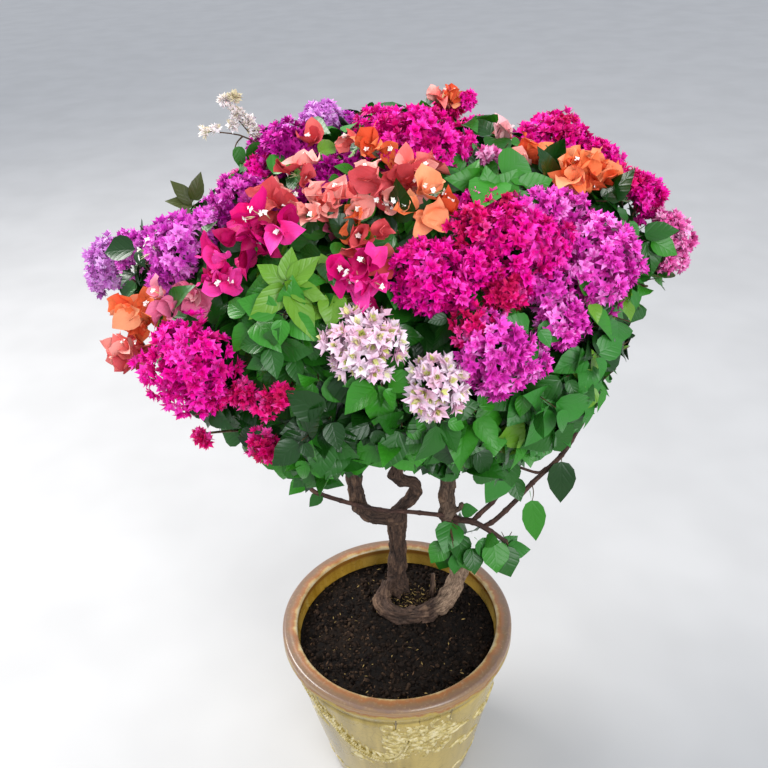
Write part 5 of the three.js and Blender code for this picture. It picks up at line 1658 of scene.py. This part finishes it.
# The blossom. The colour is in papery bracts round flowers too small to see. Double heads are
# balls of small pointed bracts in whorls, and single blossoms are three broad cupped bracts,
# half of them round a white star flower. Each look has three tones, dealt out among its florets.
LOOKS = {  # the name of its group of looks, then tones from dark to light
    "hot": ("magenta_bracts", "d00278", "f008a8", "f640c0"),
    "deep": ("magenta_bracts", "9a0678", "c00c9a", "de38b8"),
    "cerise": ("magenta_bracts", "b20458", "dc0c7c", "f03ca0"),
    "red": ("magenta_bracts", "c60856", "ea0c80", "f64cac"),
    "purple": ("purple_bracts", "ac1894", "d436b4", "e86ace"),
    "orchid": ("purple_bracts", "c636b6", "e860d6", "f694ea"),
    "lilac": ("purple_bracts", "c86ec6", "e094e0", "f2c0f4"),
    "fuchsia": ("pink_bracts", "d62eb0", "f456d0", "fc94e6"),
    "pink": ("pink_bracts", "e05ca8", "f488c8", "fcbae0"),
    "rose": ("pink_bracts", "dc7094", "f094a8", "f8bcc0"),
    "blush": ("white_bracts", "f0c6da", "f6d8e8", "fbeaf4"),
    "cream": ("white_bracts", "dcd2b0", "eee4dc", "faf4f4"),
    "heart": ("white_bracts", "c6c670", "dede98", "eeeec0"),
    "star": ("white_bracts", "d8e0a8", "f2f0d8", "fffef8"),
    "salmon": ("salmon_bracts", "ce4e54", "ea7670", "f4a79c"),
    "orange": ("salmon_bracts", "de5630", "f07c48", "f8a274"),
}
TONES = 3
BRACT_ROWS = [(0.46, 0.5)]
BROAD_ROWS = [
    (0.03, 0.24), (0.13, 0.42), (0.28, 0.50), (0.46, 0.49), (0.64, 0.40), (0.80, 0.26), (0.92, 0.12),
]
bract_outline, bract_faces = blade_outline(BRACT_ROWS)
broad_outline, broad_faces = blade_outline(BROAD_ROWS, columns=5)
bract_rows = {look: [] for look in LOOKS}
broad_rows = {look: [] for look in LOOKS}
WHORLS = [  # bracts in a floret's whorls: count, degrees off its axis, length, width
    (6, 72, 0.0121, 0.0070), (5, 46, 0.0113, 0.0066), (4, 20, 0.0092, 0.0054),
]
LOOKS_IN, WHOLE_BALL = -0.35, 28.0  # larger heads have no florets that look back into the crown
INNER_SHARE, INNER_DEPTH = 0.20, 0.36  # florets deep in a head, so that it has no holes
FLORETS_PER_AREA = 0.080  # florets on a head for each square millimetre of its radius squared
BLUSH_PER_AREA, BLUSH_SIZE = 0.040, 1.30  # the blush heads have fewer and larger florets
SPRIG_PER_AREA, SPRIG_SIZE, SPRIG_LEAST = 0.02, 0.86, 8
SINGLE_AREA, SINGLES_LEAST = 200, 4  # a lobe has one blossom for each share of its radius squared
TOUCH_FULLER, TOUCH_SIZE, OPEN_SIZE = 1.4, 0.86, 0.95  # double touches, and the open sprays
HEAD_DEPTH, HEAD_BULGE = 0.26, 0.20  # how far in from a head's skin its florets sit, and bulge
FLORET_HEIGHT = 0.010
BROAD_LENGTH, BROAD_WIDTH = 0.031, 0.026
BROAD_TILT, BROAD_CUP = 50, -0.42
LONE_WHORL, LONE_AXIS = (24, 0.036, 0.027), (0.1, -0.35, 0.93)
LONE_CUP, LONE_LOOSE = -0.25, 0.3
STAR_PETALS = (5, 80, 0.0046, 0.0038)
STAR_TUBE, TUBE_LENGTH = (3, 2, 0.0160, 0.0014), 0.015


def frames_of(directions):
    """Two directions square to each of some directions."""
    helper = np.where(np.abs(directions[:, 2:3]) < 0.9, [[0.0, 0.0, 1.0]], [[1.0, 0.0, 0.0]])
    first = unit(np.cross(directions, helper))
    return first, np.cross(directions, first)


def lay_whorl(store, feet, axes, tones, whorl, size, cup, loose=0.0):
    """A whorl of bracts round each axis. Loose ones are twisted, curled and waved apart."""
    count, tilt, length, width = whorl
    first, second = frames_of(axes)
    number = len(feet)
    total = number * count
    turn = 2 * math.pi * np.arange(count)[None] / count + chance.uniform(0, 2 * math.pi, (number, 1))
    turn = turn + chance.normal(0, 0.30, (number, count))
    off = np.radians(tilt + chance.normal(0, 14 + 8 * loose, (number, count)))
    radial = np.cos(turn)[..., None] * first[:, None] + np.sin(turn)[..., None] * second[:, None]
    way = np.cos(off)[..., None] * axes[:, None] + np.sin(off)[..., None] * radial
    facing = np.sin(off)[..., None] * axes[:, None] - np.cos(off)[..., None] * radial
    facing = facing + loose * chance.normal(0, 0.35, facing.shape)
    stray = chance.integers(-1, 2, total) * (chance.uniform(0, 1, total) < 0.35)
    scale = size[:, None] * chance.uniform(0.82, 1.15, (number, count))
    store.append(np.column_stack([
        np.repeat(feet, count, axis=0), way.reshape(total, 3), facing.reshape(total, 3),
        (length * scale).ravel(), (width * scale * chance.uniform(0.85, 1.15, scale.shape)).ravel(),
        chance.uniform(0.15, 0.5 + 0.5 * loose, total), chance.normal(cup, 0.12 + 0.22 * loose, total),
        chance.normal(0, 0.04 + 0.15 * loose, total), np.clip(np.repeat(tones, count) + stray, 0, 2),
    ]))


def grow_head(look, middle, radius, florets=None, size=1.0):
    """A ball of double florets: whorled bracts all round."""
    outward = unit(middle - CROWN_MIDDLE)
    count = florets or max(7, round(radius**2 * FLORETS_PER_AREA))
    ways = golden_directions(count) @ random_turns(1)[0]
    if radius > WHOLE_BALL:
        ways = ways[ways @ outward > LOOKS_IN]
    count = len(ways)
    ways = unit(ways + chance.normal(0, 0.10, (count, 3)))
    bulge = np.array([noise.noise(Vector(way * 2.1) + Vector(middle) * 0.02) for way in ways])
    depth = 1 - HEAD_DEPTH * chance.uniform(0, 1, count) ** 1.6 + HEAD_BULGE * bulge
    depth = np.where(chance.uniform(0, 1, count) < INNER_SHARE, 1 - INNER_DEPTH, depth)
    feet = middle / 1000 + ways * (radius / 1000 * depth - FLORET_HEIGHT)[:, None]
    axes = unit(ways + 0.12 * outward + chance.normal(0, 0.26, (count, 3)))
    patches = np.array([noise.noise(Vector(foot * 38)) for foot in feet])
    tones = np.clip(np.round(1 + 1.6 * patches + chance.normal(0, 0.55, count)), 0, 2)
    sizes = size * chance.uniform(0.85, 1.15, count)
    for whorl in WHORLS:
        own_look = "heart" if look == "blush" and whorl == WHORLS[-1] else look
        lay_whorl(bract_rows[own_look], feet, axes, tones, whorl, sizes, -0.05)


def grow_stars(feet, axes):
    """White star flowers, each on a short green-white tube."""
    tones = np.full(len(feet), TONES - 1)
    sizes = np.ones(len(feet))
    tops = feet + axes * TUBE_LENGTH
    lay_whorl(bract_rows["star"], tops, axes, tones, STAR_PETALS, sizes, 0.0)
    lay_whorl(bract_rows["star"], feet, axes, 0 * tones, STAR_TUBE, sizes, 0.0)


def grow_singles(look, middle, radius, blossoms, small=1.0, spread=0.9):
    """Single blossoms on a lobe, on the side that looks out of the crown."""
    outward = unit(middle - CROWN_MIDDLE)
    ways = golden_directions(blossoms * 3) @ random_turns(1)[0]
    ways = ways[np.argsort(-(ways @ outward))[:blossoms]]
    axes = unit(ways + 0.55 * outward + [0, 0, 0.15] + chance.normal(0, 0.25, (blossoms, 3)))
    feet = middle / 1000 + ways * radius / 1000 * spread - axes * 0.006
    tones = chance.integers(0, TONES, blossoms)
    sizes = chance.uniform(0.85, 1.15, blossoms)
    whorl = (3, BROAD_TILT, BROAD_LENGTH * small, BROAD_WIDTH * small)
    lay_whorl(broad_rows[look], feet, axes, tones, whorl, sizes, BROAD_CUP, loose=1.0)
    starred = chance.uniform(0, 1, blossoms) < 0.5
    grow_stars(feet[starred] + axes[starred] * 0.002, axes[starred])


for mass, kind, look, middle, radius in zip(lobe_mass, lobe_kind, lobe_look, head_middle, head_radius):
    if look == "blush":
        grow_head(look, middle, radius, florets=round(radius**2 * BLUSH_PER_AREA), size=BLUSH_SIZE)
    elif kind == "double":
        grow_head(look, middle, radius)
    elif kind == "sprig":
        florets = max(SPRIG_LEAST, round(radius**2 * SPRIG_PER_AREA))
        grow_head(look, middle, radius, florets, size=SPRIG_SIZE)
    elif kind == "single":
        blossoms = max(SINGLES_LEAST, round(radius**2 / SINGLE_AREA))
        spread = 0.4 if mass in ("left_far", "left_mid") else 0.9
        grow_singles(look, middle, radius, blossoms, spread=spread)

# White star flowers with no bracts round them. They grow on the shoots, where a few have opened
# between the heads. The touches of blossom follow, in the places kept for them.
STARS = [  # azimuth, reach, height, radius and count of bare star flowers
    (-55, 345, 1165, 16, 6), (-66, 352, 1120, 14, 4), (-29, 286, 1216, 14, 4), (-6, 330, 1168, 8, 3),
    (-28, 204, 1230, 14, 3), (2, 230, 1220, 18, 4), (14, 252, 1230, 12, 3), (78, 306, 1196, 14, 3),
]
for azimuth, reach, height, radius, count in STARS:
    middle = place_of(azimuth, reach, height)
    spread = chance.normal(0, 0.4, (count, 3)) * radius
    axes = unit(unit(middle - CROWN_MIDDLE) + chance.normal(0, 0.4, (count, 3)))
    grow_stars((middle + spread) / 1000, axes)
for kind, look, middle, radius, count, azimuth in touches:
    if kind == "lone":
        foot, axis, tone = middle[None] / 1000, np.array([LONE_AXIS]), np.array([TONES - 1])
        whorl = (count, *LONE_WHORL)
        lay_whorl(broad_rows[look], foot, axis, tone, whorl, np.ones(1), LONE_CUP, LONE_LOOSE)
    elif kind == "single":
        grow_singles(look, middle, radius, count, small=0.8 if azimuth > 100 else 1.0)
    elif kind == "double":
        grow_head(look, middle, radius, florets=round(TOUCH_FULLER * count), size=TOUCH_SIZE)
    else:
        grow_head(look, middle, radius, florets=count, size=OPEN_SIZE)


def papery(name, code, veined):
    """A thin papery bract with fine raised veins."""
    paper = new_material(name, Base_Color=colour(code), Roughness=0.6, Specular_IOR_Level=0.25)
    blade = add(paper, "ShaderNodeUVMap", uv_map="blade").outputs[0]
    stretched = add(paper, "ShaderNodeMapping", {"Vector": blade, "Scale": (9, 1.6, 1)}).outputs[0]
    veins = speckle(paper, stretched, 1.6, detail=2.0)
    drive(paper, "Normal", bump(paper, veins, veined, 0.0016 * veined))
    return paper


for look, (slot, *codes) in LOOKS.items():
    for form, outline, faces, store, bend, reflex in (
        ("double", bract_outline, bract_faces, bract_rows, 1.15, 0.0),
        ("single", broad_outline, broad_faces, broad_rows, 2.0, 0.22),
    ):
        if not store[look]:
            continue
        rows = np.vstack(store[look])
        uvs = np.column_stack([outline[:, 0] + 0.5, outline[:, 1]])
        name = f"blossom_{look}_{form}"
        shape = blades(outline, rows, bend, reflex)
        mesh = joined(name, shape, faces, uvs=uvs, looks=rows[:, -1].astype(int))
        veined = 0.8 if form == "single" else 0.4
        papers = [papery(f"{look}_{form}_{tone}", code, veined) for tone, code in enumerate(codes)]
        piece_of(name, mesh, papers, smooth=form == "single")

# The studio: a plain pale floor under plain soft light, with one broad light behind the plant on
# the left and one before it on the right.
FLOOR_SIDE = 60.0
CROWN_FOOT = (0, 0, 0.8)  # where the lights point
SKY_TINT, SKY_STRENGTH = (0.86, 0.91, 1.0, 1.0), 0.95
floor_form = bmesh.new()
bmesh.ops.create_grid(floor_form, x_segments=2, y_segments=2, size=FLOOR_SIDE / 2)
floor = in_scene("floor", mesh_from(floor_form, "floor"))
paving, _ = mottled(
    "pale_floor", 3.0, (0.35, "b4b3b2"), (0.65, "bab9b8"), detail=2.0, Roughness=0.6
)
floor.data.materials.append(paving)


def soft_light(name, place, size, power, tint):
    light = bpy.data.lights.new(name, "AREA")
    light.shape = "DISK"
    light.size = size
    light.energy = power
    light.color = tint
    lamp = in_scene(name, light)
    lamp.location = place
    lamp.rotation_euler = (Vector(CROWN_FOOT) - Vector(place)).to_track_quat("-Z", "Y").to_euler()


soft_light("key_light", (-2.2, 1.4, 3.6), size=2.2, power=200, tint=(1.0, 0.98, 0.95))
soft_light("front_light", (1.6, -3.2, 2.6), size=2.6, power=110, tint=(0.96, 0.98, 1.0))

world = bpy.data.worlds.new("studio")
world.use_nodes = True
sky = world.node_tree.nodes["Background"]
sky.inputs["Color"].default_value = SKY_TINT
sky.inputs["Strength"].default_value = SKY_STRENGTH
bpy.context.scene.world = world
bpy.context.scene.view_settings.view_transform = "Standard"

# The camera stands at eye height, a good metre in front of the pot's middle. It looks down at the
# crown and is held a little askew.
CAMERA_PLACE = (-0.0046, -1.1553, 1.56)
CAMERA_TILT, CAMERA_ROLL = 58.9, -2.5  # degrees up from straight down, and round its own axis
camera_data = bpy.data.cameras.new("camera")
camera_data.lens = 39.84
camera_data.sensor_width = 36.0
camera_data.clip_end = 200.0
camera = in_scene("camera", camera_data)
camera.matrix_world = (
    Matrix.Translation(CAMERA_PLACE)
    @ Matrix.Rotation(math.radians(CAMERA_TILT), 4, "X")
    @ Matrix.Rotation(math.radians(CAMERA_ROLL), 4, "Z")
)
bpy.context.scene.camera = camera
